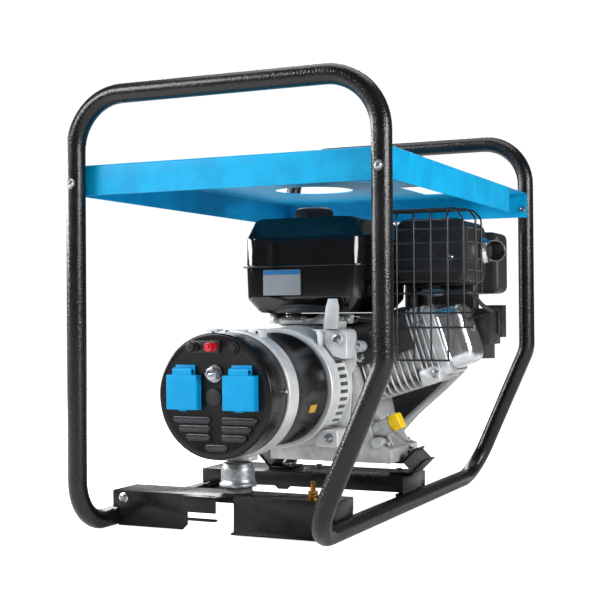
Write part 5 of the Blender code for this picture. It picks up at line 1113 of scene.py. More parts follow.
@dataclass
class Engine:
    """Engine block: crankcase, finned cylinder, head, rocker cover and shroud."""

    case_y: tuple[float, float] = (-0.0203, 0.112)
    deck: float = 0.104
    head_start: float = 0.204
    fins: int = 9
    fin_pitch: float = 0.0105
    half_y: float = 0.0525
    half_v: float = 0.062

    def lean(self, t: float, y: float, v: float) -> Vector:
        """Point at t along the leaning cylinder, y, and v square to both."""
        return LEAN @ Vector((t, y, v))

    def build(self) -> None:
        """Build the pieces of the engine block."""
        self.crankcase()
        self.cylinder()
        self.head()
        self.rocker_cover()
        self.shroud()
        self.spark_lead()
        for node, body, finish in (("crankshaft", "crank", STEEL), ("piston", "piston", ENGINE_CASTING)):
            piece = Bench.soften(Bench.node(node), 0.0006, 1, 50.0)
            Bench.deliver(piece, f"{node}_machined", finish, body, (node,))

    def crankcase(self) -> None:
        """Crankcase with its side-cover rim, ribs, bosses and bolts, and the oil filler neck."""
        case = Bench.soften(Bench.node("crankcase"), 0.0030, 3, 34.0)
        parts = [case]
        for turn in (118.0, 152.0, 186.0, 220.0):
            angle = math.radians(turn)
            spot = (CRANK.x + 0.0965 * math.cos(angle), CRANK.z + 0.0965 * math.sin(angle))
            parts.append(Bench.lathe([(0.0075, -0.016), (0.0088, -0.012), (0.0088, 0.006), (0.0075, 0.008)],
                                     (spot[0], self.case_y[0] + 0.030, spot[1]), Axis.Y, 24))
        for x, z, radius in ((0.064, 0.262, 0.0090), (0.076, 0.158, 0.0078), (0.0955, 0.1085, 0.0085)):
            parts.append(Bench.lathe([(radius, -0.004), (radius + 0.0008, 0.004), (radius, 0.020)],
                                     (x - 0.006, self.case_y[0], z), Axis.Y, 28))
        for y in (0.010, 0.085):
            rib = Bench.slab(fillet(((0.070, 0.103), (0.108, 0.1025), (0.104, 0.1080), (0.080, 0.150),
                                     (0.070, 0.150)),
                                    [0.002, 0.003, 0.006, 0.004, 0.002]), y - 0.003, y + 0.003)
            parts.append(Bench.soften(rib, 0.0012, 2))
        neck = Bench.lathe([(0.0140, -0.026), (0.0130, -0.004), (0.0128, 0.024), (0.0140, 0.026), (0.0140, 0.0318)],
                           (0, 0, 0), Axis.X, 40)
        web = Bench.block((-0.030, -0.003, -0.020), (0.006, 0.003, 0.016), 0.0015)
        parts += [Bench.move(piece, self.neck_place()) for piece in (neck, web)]
        Bench.deliver(Bench.join(parts), "crankcase_casting", ENGINE_CASTING, nodes=("crankcase",), smooth=46.0)
        up, front = Vector((0.0, 0.0, 1.0)), Vector((0.0, -1.0, 0.0))
        bolts = [Bench.hex_bolt((0.1005, y, 0.1025), up, 0.0100, 0.0060) for y in (0.000, 0.092)]
        bolts += [Bench.hex_bolt((-0.088, y, 0.1025), up, 0.0100, 0.0060) for y in (0.000, 0.092)]
        bolts += [Bench.hex_bolt((x - 0.006, self.case_y[0] - 0.004, z), front, 0.0085, 0.0050)
                  for x, z in ((0.064, 0.262), (0.076, 0.158))]
        Bench.deliver(Bench.join(bolts), "crankcase_bolts", ZINC)
        drain = Bench.hex_bolt((0.1120, 0.070, 0.0885), Vector((1.0, 0.0, 0.0)), 0.0110, 0.0070, 0.0085)
        Bench.deliver(drain, "oil_drain_plug", ZINC)
        self.dipstick()

    @staticmethod
    def neck_place() -> Matrix:
        """Where the oil filler neck stands, with +X along it."""
        return Matrix.Translation((0.078, 0.000, 0.124)) @ Matrix.Rotation(-math.radians(25.0), 4, "Y")

    def dipstick(self) -> None:
        """Yellow filler cap: a square-shouldered grip with finger flats, and its dipstick."""
        grip = Bench.block((0.0340, -0.0118, -0.0128), (0.0508, 0.0118, 0.0128), 0.0026, 4)
        flange = Bench.lathe([(0.0120, 0.0323), (0.0128, 0.0330), (0.0128, 0.0350), (0.0120, 0.0356)], (0, 0, 0),
                             Axis.X,
                             40)
        stem = Bench.lathe([(0.0020, -0.070), (0.0022, 0.016), (0.0070, 0.016), (0.0070, 0.0330)], (0, 0, 0), Axis.X,
                           20)
        ribs = [Bench.block((0.0385 + 0.0030 * k, -0.0124, -0.0090), (0.0395 + 0.0030 * k, 0.0124, 0.0090), 0.0004, 1)
                for k in range(4)]
        piece = Bench.move(Bench.join([grip, flange, stem, *ribs]), self.neck_place())
        Bench.deliver(piece, "dipstick_cap", YELLOW_ABS, "oil_dipstick", ("dipstick",))

    def cylinder(self) -> None:
        """Cylinder barrel with thin cast fins, deeper and rounder at their lower corners."""
        y0, y1 = CYLINDER_Y - self.half_y, CYLINDER_Y + self.half_y
        start = self.deck + 0.0003
        barrel = Bench.slab(fillet(((y0 + 0.006, -0.046), (y1 - 0.006, -0.046), (y1 - 0.006, 0.046),
                                    (y0 + 0.006, 0.046)),
                                   [0.020]), start, self.head_start - 0.0003, Axis.X)
        bore = Bench.lathe([(0.044, start - 0.01), (0.044, self.head_start + 0.01)], (0.0, CYLINDER_Y, 0.0), Axis.X,
                           48)
        Bench.boolean(barrel, bore)
        outline = fillet(((y0, -self.half_v), (y1, -self.half_v), (y1, self.half_v), (y0, self.half_v)),
                         [0.024, 0.024, 0.012, 0.014])
        fin = Bench.slab(outline, 0.0, 0.0024, Axis.X)
        hole = Bench.lathe([(0.0455, -0.01), (0.0455, 0.01)], (0.0, CYLINDER_Y, 0.0), Axis.X, 40)
        Bench.soften(Bench.boolean(fin, hole), 0.0008, 2)
        places = [Matrix.Translation((start + 0.0036 + k * self.fin_pitch, 0.0, 0.0)) for k in range(self.fins)]
        piece = Bench.move(Bench.join([barrel, Bench.spread(fin, places)]), LEAN)
        Bench.deliver(piece, "cylinder_casting", ENGINE_CASTING, nodes=("cylinder",), smooth=46.0)

    def head(self) -> None:
        """Head with its fins, plug boss, exhaust flange and the cast port beneath it."""
        y0 = CYLINDER_Y - self.half_y
        s = self.head_start
        block = Bench.slab(oblong((CYLINDER_Y, 0.0), 0.094, 0.112, 0.016), s, s + 0.044, Axis.X)
        parts = [Bench.soften(block, 0.0012, 2)]
        for k, (grow, thick) in enumerate(((0.0, 0.0034), (0.0, 0.0024), (-0.001, 0.0024), (-0.002, 0.0026))):
            fin = Bench.slab(oblong((CYLINDER_Y, 0.0), 2 * (self.half_y + grow), 2 * (self.half_v + grow), 0.016),
                             s + 0.0002 + k * 0.0088, s + 0.0002 + k * 0.0088 + thick, Axis.X)
            parts.append(Bench.soften(fin, 0.0008, 2))
        flange = Bench.slab(oblong((CYLINDER_Y, 0.0), 0.088, 0.114, 0.018), s + 0.0385, s + 0.044, Axis.X)
        parts.append(Bench.soften(flange, 0.0010, 2))
        port = Bench.loft(oblong((0.0, 0.0), 0.036, 0.030, 0.010), [
            (y0 - 0.0006, 0.80, 0.80, s + 0.010, -0.052), (y0 + 0.004, 1.0, 1.0, s + 0.010, -0.050),
            (y0 + 0.030, 1.05, 1.0, s + 0.008, -0.046)], Axis.Y)
        boss = Bench.lathe([(0.0095, 0.0), (0.0105, 0.004), (0.0120, 0.020)],
                           (s + 0.010, y0 + 0.016, self.half_v - 0.004),
                           -Axis.Z.value, 28)
        parts += [port, boss]
        piece = Bench.move(Bench.join(parts), LEAN)
        Bench.deliver(piece, "head_casting", ENGINE_CASTING, nodes=("cylinder_head",), smooth=46.0)
        front = Vector((0.0, -1.0, 0.0))
        bolts = [Bench.hex_bolt(self.lean(s + 0.020, y0 - 0.0006, -0.050), front, 0.0085, 0.0045),
                 Bench.hex_bolt(self.lean(s + 0.0205, y0 + 0.002, 0.030), front, 0.0080, 0.0040)]
        Bench.deliver(Bench.join(bolts), "head_bolts", ZINC)

    def rocker_cover(self) -> None:
        """Pressed rocker cover: a flat rim, a rolled shoulder and a domed face with its breather."""
        t = self.head_start + 0.0443
        outline = oblong((0.0, 0.0), 0.084, 0.112, 0.022, 8)
        levels = [(0.0, 1.0), (0.0030, 1.0), (0.0036, 0.985), (0.0042, 0.93), (0.0062, 0.915), (0.0240, 0.885),
                  (0.0310, 0.865), (0.0360, 0.82), (0.0395, 0.74), (0.0415, 0.62), (0.0424, 0.45)]
        shell = Bench.loft(outline, [(t + h, s, s, CYLINDER_Y, 0.0) for h, s in levels], Axis.X)
        rim = Bench.slab(oblong((CYLINDER_Y, 0.0), 0.080, 0.108, 0.021), t + 0.003, t + 0.0046, Axis.X)
        Bench.soften(rim, 0.0006, 2)
        boss = Bench.lathe([(0.0105, -0.004), (0.0100, 0.0012), (0.0085, 0.0022)], (t + 0.040, CYLINDER_Y, 0.004),
                           Axis.X, 36)
        cover = Bench.move(Bench.join([shell, rim, boss]), LEAN)
        Bench.deliver(cover, "rocker_cover_pressing", POLISHED, nodes=("valve_cover",), smooth=36.0)
        way = (LEAN.to_3x3() @ Vector((1.0, 0.0, 0.0))).normalized()
        bolt = Bench.hex_bolt(self.lean(t + 0.0415, CYLINDER_Y, 0.004), way, 0.0090, 0.0036)
        Bench.deliver(bolt, "rocker_cover_bolt", ZINC)
        points = [self.lean(t + 0.030, CYLINDER_Y + 0.030, 0.030), self.lean(t + 0.030, CYLINDER_Y + 0.075, 0.036),
                  (0.2250, 0.150, 0.3060), (0.2250, 0.200, 0.3120)]
        hose = Bench.tube(points, 0.0052, [0.012, 0.010], 8)
        Bench.deliver(hose, "breather_hose", RUBBER)

    def shroud(self) -> None:
        """Moulded shroud over the top and the upper front of the cylinder, with its bolts."""
        y0 = CYLINDER_Y - self.half_y - 0.0033
        top = self.half_v + 0.0042
        profile = fillet(((y0, -0.002), (y0 + 0.002, -0.002), (y0 + 0.002, top - 0.004), (0.110, top - 0.0004),
                          (0.110, top + 0.002), (y0, top + 0.002)), [0.0, 0.0, 0.010, 0.0, 0.0, 0.014])
        panel = Bench.soften(Bench.slab(profile, self.deck - 0.001, self.head_start - 0.001, Axis.X), 0.0008, 2)
        swell = Bench.loft(oblong((0.0, 0.0), 0.046, 0.040, 0.014), [
            (y0 + 0.0015, 1.0, 1.0, self.deck + 0.055, 0.030), (y0 - 0.0035, 0.96, 0.95, self.deck + 0.055, 0.031),
            (y0 - 0.0062, 0.84, 0.80, self.deck + 0.056, 0.032),
            (y0 - 0.0070, 0.62, 0.55, self.deck + 0.056, 0.032)], Axis.Y)
        rib = Bench.block((self.deck + 0.010, y0 - 0.0022, 0.004), (self.deck + 0.014, y0 + 0.001, 0.060), 0.0012)
        piece = Bench.move(Bench.join([panel, swell, rib]), LEAN)
        Bench.deliver(piece, "shroud_moulding", CHARCOAL, nodes=("cylinder_shroud",), smooth=46.0)
        front = Vector((0.0, -1.0, 0.0))
        bolts = [Bench.hex_bolt(self.lean(t, y0 - 0.0002, v), front, 0.0090, 0.0050, 0.0078)
                 for t, v in ((self.deck + 0.008, 0.012), (self.deck + 0.060, 0.0035), (self.deck + 0.004, 0.056))]
        Bench.deliver(Bench.join(bolts), "shroud_bolts", ZINC)

    def spark_lead(self) -> None:
        """Plug cap with its metal sleeve, and the lead that loops back to the coil."""
        x, y = 0.1345, 0.030
        top = self.lean(self.head_start + 0.010, y, self.half_v).z
        cap = Bench.lathe([(0.0062, 0.0035), (0.0068, 0.0060), (0.0068, 0.0170), (0.0052, 0.0190)], (x, y, top),
                          sides=24)
        points = [(x, y, top + 0.010), (x, y, top + 0.0235), (0.230, y, top + 0.026),
                  (0.2425, y + 0.024, top + 0.004),
                  (0.2415, 0.118, top - 0.006), (0.1835, 0.120, top - 0.022)]
        lead = Bench.tube(points, 0.0034, [0.010, 0.014, 0.020, 0.008], 8)
        sleeve = Bench.lathe([(0.0050, -0.020), (0.0062, -0.018), (0.0062, 0.014), (0.0050, 0.016)],
                             (0.170, y, top + 0.0246), Axis.X, 24)
        Bench.deliver(Bench.join([cap, lead]), "spark_cable", RUBBER, nodes=("spark_lead",))
        Bench.deliver(sleeve, "spark_sleeve", STEEL)


@dataclass
class Starter:
    """Blower housing, flywheel and recoil starter with its rope and handle."""

    blower_y: tuple[float, float] = (0.1123, 0.190)
    blower_r: float = 0.112
    rope_y: float = 0.2153
    rope_z: float = 0.2436
    grip_x: float = -0.1635
    grip_r: float = 0.0115
    grip_half: float = 0.049

    def build(self) -> None:
        """Build the pieces at the starter end."""
        hull = Bench.soften(Bench.node("blower_housing"), 0.0022, 3, 40.0)
        rim = Bench.lathe([(self.blower_r - 0.004, -0.0002), (self.blower_r + 0.0008, -0.0002),
                           (self.blower_r + 0.0008, 0.0030), (self.blower_r - 0.004, 0.0030)],
                          (CRANK.x, self.blower_y[1] - 0.0052, CRANK.z), Axis.Y, 96, ring=True)
        Bench.deliver(Bench.join([hull, rim]), "blower_hull", PANEL_PAINT, nodes=("blower_housing",), smooth=46.0)
        seats = [(CRANK.x + 0.1045 * math.cos(a), self.blower_y[1] + 0.0002, CRANK.z + 0.1045 * math.sin(a))
                 for a in (0.6, 2.5, 3.9, 5.4)]
        heads = [Bench.hex_bolt(seat, Axis.Y.value, 0.009, 0.004) for seat in seats]
        Bench.deliver(Bench.join(heads), "blower_bolts", ZINC)
        for node, finish, body in (("recoil_cover", PANEL_PAINT, "set"), ("flywheel", ENGINE_CASTING, "crank"),
                                   ("recoil_pulley", BLACK_NYLON, "starter_pulley")):
            piece = Bench.soften(Bench.node(node), 0.0008, 2, 40.0)
            Bench.deliver(piece, f"{node}_shaped", finish, body, (node,), 46.0)
        self.handle()

    def handle(self) -> None:
        """Starter grip, and the rope that runs from it into the housing."""
        x, y, z = self.grip_x, self.rope_y, self.rope_z
        r, h = self.grip_r, self.grip_half
        profile = [(r * 0.55, -h), (r * 0.9, -h + 0.002), (r, -h + 0.006), (r * 0.92, -h + 0.022), (r * 0.90, 0.0),
                   (r * 0.92, h - 0.022), (r, h - 0.006), (r * 0.9, h - 0.002), (r * 0.55, h)]
        grip = Bench.lathe(profile, (x, y, z), Axis.Z, 32)
        nose = Bench.lathe([(0.0082, 0.002), (0.0076, 0.0125), (0.0058, 0.0165)], (x, y, z), Axis.X, 24)
        Bench.deliver(Bench.join([grip, nose]), "starter_grip", BLACK_NYLON, "starter_handle", ("recoil_handle",))
        rope = Bench.tube([(x + 0.0100, y, z), (CRANK.x - 0.020, y, z)], 0.0021, steps=2)
        rope.name = "starter_rope_run"
        Bench.pick(rope)
        bpy.ops.object.shade_smooth_by_angle(angle=math.radians(50.0))
        rope.data.materials.clear()
        rope.data.materials.append(ROPE.material())
        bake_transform(rope)
        LOG.info("starter_rope_run: blended between the housing and the handle")


@dataclass
class FuelTank:
    """Fuel tank of two pressed halves with a folded seam, its labels, cap and brackets."""

    low: tuple[float, float, float] = (-0.128, -0.060, 0.3165)
    high: tuple[float, float, float] = (0.077, 0.172, 0.470)
    seam_z: float = 0.392
    corner: float = 0.026
    cap: tuple[float, float] = (-0.077, 0.118)

    def build(self) -> None:
        """Build the tank and its fittings."""
        self.shell()
        self.labels()
        self.filler_cap()
        for node in ("tank_bracket", "tank_arm"):
            piece = Bench.soften(Bench.node(node), 0.0009, 2, 40.0)
            Bench.deliver(piece, f"{node}_sheet", BRACKET_CASTING, nodes=(node,))

    def shell(self) -> None:
        """Upper and lower halves with rounded shoulders, and the seam between them."""
        cx, cy = (self.low[0] + self.high[0]) / 2, (self.low[1] + self.high[1]) / 2
        width, length = self.high[0] - self.low[0], self.high[1] - self.low[1]
        outline = oblong((0.0, 0.0), width, length, self.corner, 8)
        over = self.high[2] - self.seam_z
        under = self.seam_z - self.low[2]
        rise = [(0.002, 1.0), (over - 0.034, 0.992), (over - 0.030, 0.985), (over - 0.005, 0.875),
                (over - 0.0018, 0.850),
                (over, 0.815)]
        fall = [(0.002, 1.0), (under - 0.026, 0.985), (under - 0.022, 0.978), (under - 0.004, 0.835),
                (under - 0.0015, 0.810), (under, 0.770)]
        top = Bench.loft(outline, [(self.seam_z + h, s, (1.0 + s) / 2, cx, cy) for h, s in rise])
        base = Bench.loft(outline, [(self.seam_z - h, s, (1.0 + s) / 2, cx, cy) for h, s in fall])
        seam_outline = oblong((cx, cy), width + 0.0116, length + 0.0116, self.corner + 0.006, 8)
        seam = Bench.soften(Bench.slab(seam_outline, self.seam_z - 0.0016, self.seam_z + 0.0016, Axis.Z), 0.0007, 2,
                            50.0)
        neck = Bench.lathe([(0.0235, -0.012), (0.0235, 0.0100), (0.0225, 0.0110)], (*self.cap, self.high[2]),
                           sides=48)
        Bench.deliver(Bench.join([top, base, seam, neck]), "tank_shell", ENAMEL, nodes=("fuel_tank",), smooth=30.0)

    def labels(self) -> None:
        """Plain vinyl plate on the tank's lower half: a pale field with a blue head, free of any text."""
        y = self.low[1] + 0.0010
        x, z, w, h = -0.057, 0.3655, 0.066, 0.041
        field = Bench.slab(oblong((x, z), w, h, 0.0016, 3), y + 0.0030, y - 0.0014)
        Bench.deliver(field, "tank_label_field", LABEL_GREY)
        head = Bench.slab(oblong((x, z + h * 0.40), w - 0.001, h * 0.18, 0.0008, 3), y, y - 0.0018)
        Bench.deliver(head, "tank_label_head", LABEL_BLUE)

    def filler_cap(self) -> None:
        """Fluted filler cap with a domed top."""
        x, y = self.cap
        flutes = []
        for k in range(96):
            reach = 0.0335 if k % 4 in (0, 1) else 0.0322
            flutes.append((x + reach * math.cos(2 * math.pi * k / 96), y + reach * math.sin(2 * math.pi * k / 96)))
        skirt = Bench.soften(Bench.slab(flutes, 0.4788, 0.4950, Axis.Z), 0.0008, 2, 60.0)
        dome = Bench.lathe([(0.0318, 0.4945), (0.0312, 0.4968), (0.0285, 0.4988), (0.0200, 0.4996)], (x, y, 0.0),
                           sides=64)
        Bench.deliver(Bench.join([skirt, dome]), "tank_filler_cap", BLACK_NYLON, "tank_cap", ("fuel_cap",))


@dataclass
class Linkage:
    """Governor plate, arm, rod and spring between the tank and the blower, with the ignition wires."""

    low: tuple[float, float, float] = (-0.100, -0.0185, 0.2995)
    high: tuple[float, float, float] = (0.050, -0.0150, 0.3135)

    def build(self) -> None:
        """Build the plate and everything that hangs on it."""
        (x0, y0, z0), (x1, y1, z1) = self.low, self.high
        plate = Bench.slab(fillet(((x0, z0), (x1, z0), (x1, z1), (x0 + 0.090, z1), (x0 + 0.080, z1 - 0.006),
                                   (x0 + 0.020, z1 - 0.006), (x0 + 0.012, z1), (x0, z1)), [0.002], 3), y0, y1)
        foot = Bench.block((x0 + 0.010, y0, z0 - 0.0010), (x1 - 0.010, y0 + 0.030, z0 + 0.0022), 0.0008)
        Bench.deliver(Bench.join([Bench.soften(plate, 0.0008, 2), foot]), "governor_plate", BRACKET_CASTING)
        bolts = [Bench.hex_bolt((x0 + dx, y0, z0 + 0.0065), Vector((0.0, -1.0, 0.0)), 0.0080, 0.0045)
                 for dx in (0.012, 0.062, 0.138)]
        Bench.deliver(Bench.join(bolts), "governor_bolts", ZINC)
        arm = Bench.slab(fillet(((-0.030, 0.2985), (-0.022, 0.2985), (0.002, 0.3140), (-0.004, 0.3150)), [0.002], 3),
                         y0 - 0.0050, y0 - 0.0032)
        rod = Bench.tube([(-0.001, y0 - 0.0045, 0.3130), (0.046, y0 - 0.0045, 0.3105), (0.064, y0 + 0.020, 0.3080)],
                         0.0011,
                         [0.006], 6)
        coil = [(-0.074 + 0.034 * k / 96, y0 - 0.0065 + 0.0026 * math.cos(k * 0.78),
                 0.3078 + 0.0026 * math.sin(k * 0.78))
                for k in range(97)]
        spring = Bench.tube(coil, 0.0006, steps=1, round_steps=2)
        Bench.deliver(Bench.join([arm, rod, spring]), "governor_arm", STEEL)
        wires = [Bench.tube([(0.052, -0.020 + dy, 0.300), (0.060, -0.024 + dy, 0.3085), (0.078, -0.006 + dy, 0.3060),
                             (0.080, 0.030 + dy, 0.2950)], 0.0015, [0.008, 0.010], 6) for dy in (0.0, 0.0055)]
        shield = [Bench.block((-0.090, 0.060, 0.2980), (0.078, 0.064, 0.3155), 0.0010),
                  Bench.block((-0.090, 0.000, 0.3120), (0.078, 0.063, 0.3150), 0.0010)]
        Bench.deliver(Bench.join(shield), "tank_heat_shield", SHEET_COAT)
        duct = Bench.block((0.060, 0.197, 0.300), (0.190, 0.223, 0.400), 0.006)
        Bench.deliver(duct, "intake_duct", CHARCOAL)
        stack = Bench.block((0.030, 0.000, 0.3005), (0.074, 0.040, 0.3140), 0.0018)
        Bench.deliver(Bench.join([stack, *wires]), "ignition_wires", RUBBER)


@dataclass
class Exhaust:
    """Muffler box with embossed slots, its outlet and elbow, and the wire guard."""

    low: tuple[float, float, float] = (0.088, 0.065, 0.360)
    high: tuple[float, float, float] = (0.2135, 0.193, 0.470)
    guard_y: float = -0.004
    wire: float = 0.0016
    outlet: tuple[float, float] = (0.165, 0.4185)

    def build(self) -> None:
        """Build the muffler and what is bolted to it."""
        self.box()
        self.guard()
        self.tail()
        elbow = Bench.tube([(0.1385, 0.085, 0.3220), (0.1385, 0.085, 0.3640)], 0.0135, steps=2)
        flange = Bench.block((0.1180, 0.0680, 0.3560), (0.1590, 0.1020, 0.3600), 0.0009)
        Bench.deliver(Bench.join([elbow, flange]), "exhaust_elbow_pipe", BURNT, smooth=46.0)

    def box(self) -> None:
        """Pressed muffler box: rounded ends, embossed slots and a folded seam."""
        cx, cz = (self.low[0] + self.high[0]) / 2, (self.low[2] + self.high[2]) / 2
        width, height = self.high[0] - self.low[0], self.high[2] - self.low[2]
        outline = oblong((0.0, 0.0), width, height, 0.026, 10)
        y0, y1 = self.low[1], self.high[1]
        levels = [(y0, 0.86, 0.85), (y0 + 0.0010, 0.92, 0.915), (y0 + 0.0045, 0.965, 0.96),
                  (y0 + 0.010, 0.975, 0.972),
                  (y0 + 0.0110, 1.0, 1.0), (y0 + 0.0150, 1.0, 1.0), (y0 + 0.0160, 0.975, 0.972),
                  (y1 - 0.008, 0.975, 0.972), (y1 - 0.0020, 0.94, 0.93), (y1, 0.88, 0.87)]
        shell = Bench.loft(outline, [(h, su, sv, cx, cz) for h, su, sv in levels], Axis.Y)
        parts = [shell]
        for dx, dz, wide in ((-0.030, 0.020, 0.030), (0.008, 0.020, 0.034), (-0.012, -0.004, 0.040),
                             (-0.030, -0.027, 0.030)):
            slot = Bench.slab(oblong((cx + dx, cz + dz), wide, 0.0080, 0.0039, 5), y0 + 0.0006, y0 - 0.0016)
            parts.append(Bench.soften(slot, 0.0014, 3, 50.0))
        screw = Bench.dome_bolt((cx + 0.036, y0 + 0.0004, cz - 0.010), Vector((0.0, -1.0, 0.0)), 0.0055, 0.0038)
        Bench.deliver(Bench.join(parts), "muffler_box", HEAT_PAINT, nodes=("muffler",), smooth=40.0)
        Bench.deliver(screw, "muffler_screw", ZINC)

    def guard(self) -> None:
        """Guard of round wires: uprights that bend back over the muffler, and rails welded behind them."""
        y, r = self.guard_y, self.wire
        top = 0.4785
        wires = []
        for x, low in ((0.0915, 0.3145), (0.1195, 0.2400), (0.1480, 0.2400), (0.1762, 0.2400), (0.2040, 0.2400)):
            wires.append(Bench.tube([(x, y, low), (x, y, top), (x, y + 0.058, top)], r, [0.016], 8))
        rail_y = y + 2 * r - 0.0004
        for z in (0.2400, 0.2917, 0.3145, 0.3458, 0.3647, 0.3813, 0.4001, 0.4254, 0.4472):
            start, end = (0.0915 if z > 0.310 else 0.1195) - 0.002, 0.2437
            if z < 0.250:
                wires.append(Bench.tube([(start, rail_y, z), (0.2060, rail_y, z)], r, steps=2))
            elif z < 0.343:
                wires.append(Bench.tube([(start, rail_y, z), (end, rail_y, z)], r, steps=2))
            else:
                wires.append(Bench.tube([(start, rail_y, z), (end, rail_y, z), (end, y + 0.056, z)], r, [0.016], 8))
        wires.append(Bench.tube([(0.2300, y, 0.2917), (0.2300, y, 0.4600), (0.2180, y, top),
                                 (0.0895, y + 0.004, top)],
                                r, [0.02, 0.012], 6))
        for y_side in (0.020, 0.052):
            wires.append(Bench.tube([(0.2437, y + y_side, 0.3458), (0.2437, y + y_side, 0.4640),
                                     (0.2300, y + y_side, top), (0.0895, y + y_side, top)], r, [0.014], 8))
        Bench.deliver(Bench.join(wires), "guard_wires", WIRE, nodes=("muffler_guard",), smooth=60.0)

    def tail(self) -> None:
        """Flared outlet with a thin bright rim and a dark bore."""
        y, z = self.outlet
        bell = Bench.lathe([(0.0225, 0.0), (0.0228, 0.0016), (0.0205, 0.0050), (0.0186, 0.0100), (0.0150, 0.0100),
                            (0.0150, 0.0)], (0.2137, y, z), Axis.X, 56, ring=True)
        pipe = Bench.lathe([(0.0180, 0.006), (0.0180, 0.040), (0.0166, 0.040), (0.0166, 0.006)], (0.2137, y, z),
                           Axis.X, 72,
                           ring=True)
        self.mitre(pipe)
        rim = Bench.lathe([(0.0182, 0.006), (0.0182, 0.040), (0.0164, 0.040), (0.0164, 0.006)], (0.2137, y, z),
                          Axis.X, 72,
                          ring=True)
        self.mitre(rim)
        self.mitre(rim, -0.0010)
        Bench.deliver(Bench.join([bell, rim]), "exhaust_tail", POLISHED, nodes=("exhaust_outlet",), smooth=50.0)
        soot = Bench.lathe([(0.0166, 0.0030), (0.0166, 0.0050)], (0.2137, y, z), Axis.X, 40)
        Bench.deliver(Bench.join([pipe, soot]), "exhaust_bore", BURNT, smooth=50.0)

    def mitre(self, pipe: bpy.types.Object, inwards: float = 0.0) -> None:
        """Cut the outlet's end on a slant, or keep only what lies beyond the slant.

        Args:
            pipe: The tube along X.
            inwards: 0 to cut the end off; a negative distance keeps only that much of the end.
        """
        y, z = self.outlet
        slant = Vector((0.036, -0.027, 0.0)).normalized()
        end = Vector((0.2478, y + 0.018, z))
        Bench.open(pipe)
        bpy.ops.mesh.bisect(plane_co=tuple(end + slant * inwards), plane_no=tuple(slant), use_fill=True,
                            clear_outer=inwards == 0.0, clear_inner=inwards != 0.0)
        Bench.close(pipe)


@dataclass
class FuelSystem:
    """Air cleaner, carburettor and the controls beside them."""

    low: tuple[float, float, float] = (0.112, 0.228, 0.346)
    high: tuple[float, float, float] = (0.222, 0.292, 0.457)

    def build(self) -> None:
        """Build the intake side and its levers."""
        cy, cz = (self.low[1] + self.high[1]) / 2, (self.low[2] + self.high[2]) / 2
        width, height = self.high[1] - self.low[1], self.high[2] - self.low[2]
        outline = oblong((0.0, 0.0), width, height, 0.009, 5)
        x0, x1 = self.low[0], self.high[0]
        mid = (x0 + x1) / 2
        levels = [(x0, 0.90, 0.90), (x0 + 0.004, 0.96, 0.96), (x0 + 0.010, 0.975, 0.975), (mid - 0.004, 0.98, 0.98),
                  (mid - 0.003, 1.0, 1.0), (mid + 0.003, 1.0, 1.0), (mid + 0.004, 0.975, 0.975),
                  (x1 - 0.014, 0.965, 0.965), (x1 - 0.006, 0.93, 0.93), (x1 - 0.0015, 0.87, 0.87), (x1, 0.80, 0.80)]
        box = Bench.loft(outline, [(h, su, sv, cy, cz) for h, su, sv in levels], Axis.X)
        ribs = [Bench.block((x1 - 0.004, cy - 0.022, cz + dz - 0.0012), (x1 - 0.0002, cy + 0.022, cz + dz + 0.0012),
                            0.0008)
                for dz in (-0.020, -0.010, 0.0, 0.010, 0.020)]
        Bench.deliver(Bench.join([box, *ribs]), "air_cleaner_moulding", CHARCOAL, nodes=("air_cleaner",), smooth=40.0)
        for node, finish, body, width in (
                ("carburetor", CARB_BLACK, "set", 0.0010), ("control_plate", PANEL_PAINT, "set", 0.0006),
                ("choke_lever", BLACK_NYLON, "choke", 0.0007), ("fuel_tap_lever", RED_ABS, "fuel_tap", 0.0008),
                ("engine_switch", RED_ABS, "stop_switch", 0.0006)):
            piece = Bench.soften(Bench.node(node), width, 2, 40.0)
            Bench.deliver(piece, f"{node}_shaped", finish, body, (node,))


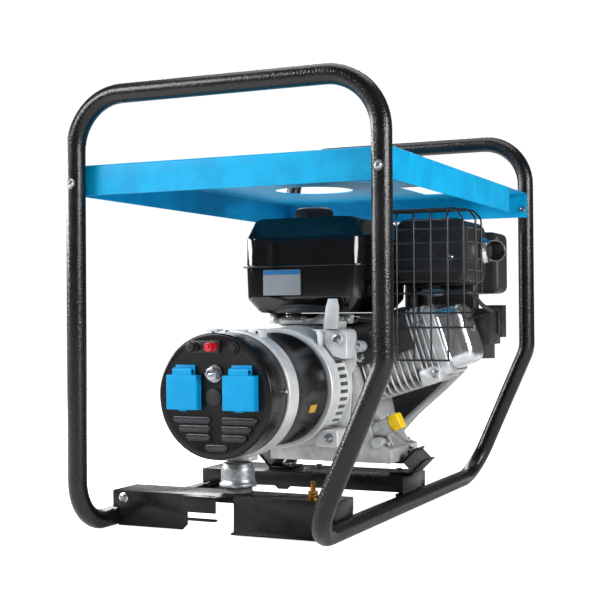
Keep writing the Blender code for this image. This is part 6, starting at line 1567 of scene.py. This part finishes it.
@dataclass
class Studio:
    """White sweep, soft lights and the camera."""

    eye: tuple[float, float, float] = (0.7843, -1.8411, 0.3138)
    azimuth: float = 24.43
    pitch: float = 0.68
    roll: float = -0.42
    lens: float = 73.35

    def build(self) -> None:
        """Set up the floor, the world, the lights and the camera."""
        self.floor()
        self.world()
        lamps = (("key_front_left", (-1.7, -2.1, 1.7), (1.3, 1.1), 62.0),
                 ("fill_right", (2.4, -0.9, 0.9), (0.6, 1.8), 52.0),
                 ("top", (0.0, 0.1, 2.3), (2.0, 1.6), 26.0), ("rim_rear", (-1.0, 2.0, 1.5), (1.6, 0.9), 30.0),
                 ("strip_left", (-2.0, -0.3, 0.7), (0.3, 1.9), 30.0))
        for name, place, size, power in lamps:
            self.lamp(name, place, size, power)
        self.camera()

    def floor(self) -> None:
        """Very large pale floor, slightly bright so that it meets the backdrop without a line."""
        Bench.pick()
        bpy.ops.mesh.primitive_plane_add(size=1.0)
        ground = bpy.context.object
        bpy.ops.transform.resize(value=(120.0, 120.0, 1.0))
        bpy.ops.object.transform_apply(location=True, rotation=True, scale=True)
        ground.name = "studio_floor"
        ground.data.materials.append(FLOOR_PAPER.material())
        shader = FLOOR_PAPER.material().node_tree.nodes["Principled BSDF"]
        shader.inputs["Emission Color"].default_value = linear("FFFFFF")
        tree = FLOOR_PAPER.material().node_tree
        path = add_node(tree, "ShaderNodeLightPath")
        glow = add_node(tree, "ShaderNodeMapRange", {
            "Value": path.outputs["Is Camera Ray"], "To Min": 0.03, "To Max": 0.92})
        tree.links.new(glow.outputs["Result"], shader.inputs["Emission Strength"])

    def world(self) -> None:
        """White backdrop to the camera, a softer grey one to everything else."""
        world = bpy.data.worlds.new("studio")
        world.use_nodes = True
        bpy.context.scene.world = world
        tree = world.node_tree
        back = tree.nodes["Background"]
        path = add_node(tree, "ShaderNodeLightPath")
        level = add_node(tree, "ShaderNodeMapRange", {
            "Value": path.outputs["Is Camera Ray"], "To Min": 0.13, "To Max": 1.05})
        back.inputs["Color"].default_value = linear("FFFFFF")
        tree.links.new(level.outputs["Result"], back.inputs["Strength"])

    def lamp(self, name: str, place: Place, size: Place, power: float) -> None:
        """Add one soft area light that looks at the generator's middle."""
        data = bpy.data.lights.new(name, "AREA")
        data.shape = "RECTANGLE"
        data.size, data.size_y = size
        data.energy = power
        lamp = bpy.data.objects.new(name, data)
        bpy.context.scene.collection.objects.link(lamp)
        aim = Vector((0.0, 0.0, 0.28)) - Vector(place)
        lamp.matrix_world = Matrix.Translation(place) @ aim.to_track_quat("-Z", "Z").to_matrix().to_4x4()

    def camera(self) -> None:
        """Place the camera."""
        a, p, r = (math.radians(v) for v in (self.azimuth, self.pitch, self.roll))
        forward = Vector((-math.sin(a) * math.cos(p), math.cos(a) * math.cos(p), math.sin(p)))
        level = Vector((math.cos(a), math.sin(a), 0.0))
        up = level.cross(forward)
        right = level * math.cos(r) + up * math.sin(r)
        above = up * math.cos(r) - level * math.sin(r)
        data = bpy.data.cameras.new("camera")
        data.lens = self.lens
        data.sensor_width = 36.0
        eye = bpy.data.objects.new("camera", data)
        bpy.context.scene.collection.objects.link(eye)
        turn = Matrix((right, above, -forward)).transposed().to_4x4()
        eye.matrix_world = Matrix.Translation(self.eye) @ turn
        bpy.context.scene.camera = eye


def main() -> None:
    """Load the frame, build every sub-assembly and set up the studio."""
    logging.basicConfig(level=logging.INFO, format="%(message)s")
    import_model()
    for assembly in (TubeFrame(), TopCover(), Crossmembers(), Alternator(), ControlPanel(), Engine(), Starter(),
                     FuelTank(), Linkage(), Exhaust(), FuelSystem()):
        LOG.info("building %s", type(assembly).__name__)
        assembly.build()
    Studio().build()
    bpy.context.scene.view_settings.view_transform = "Standard"


if __name__ == "__main__":
    main()
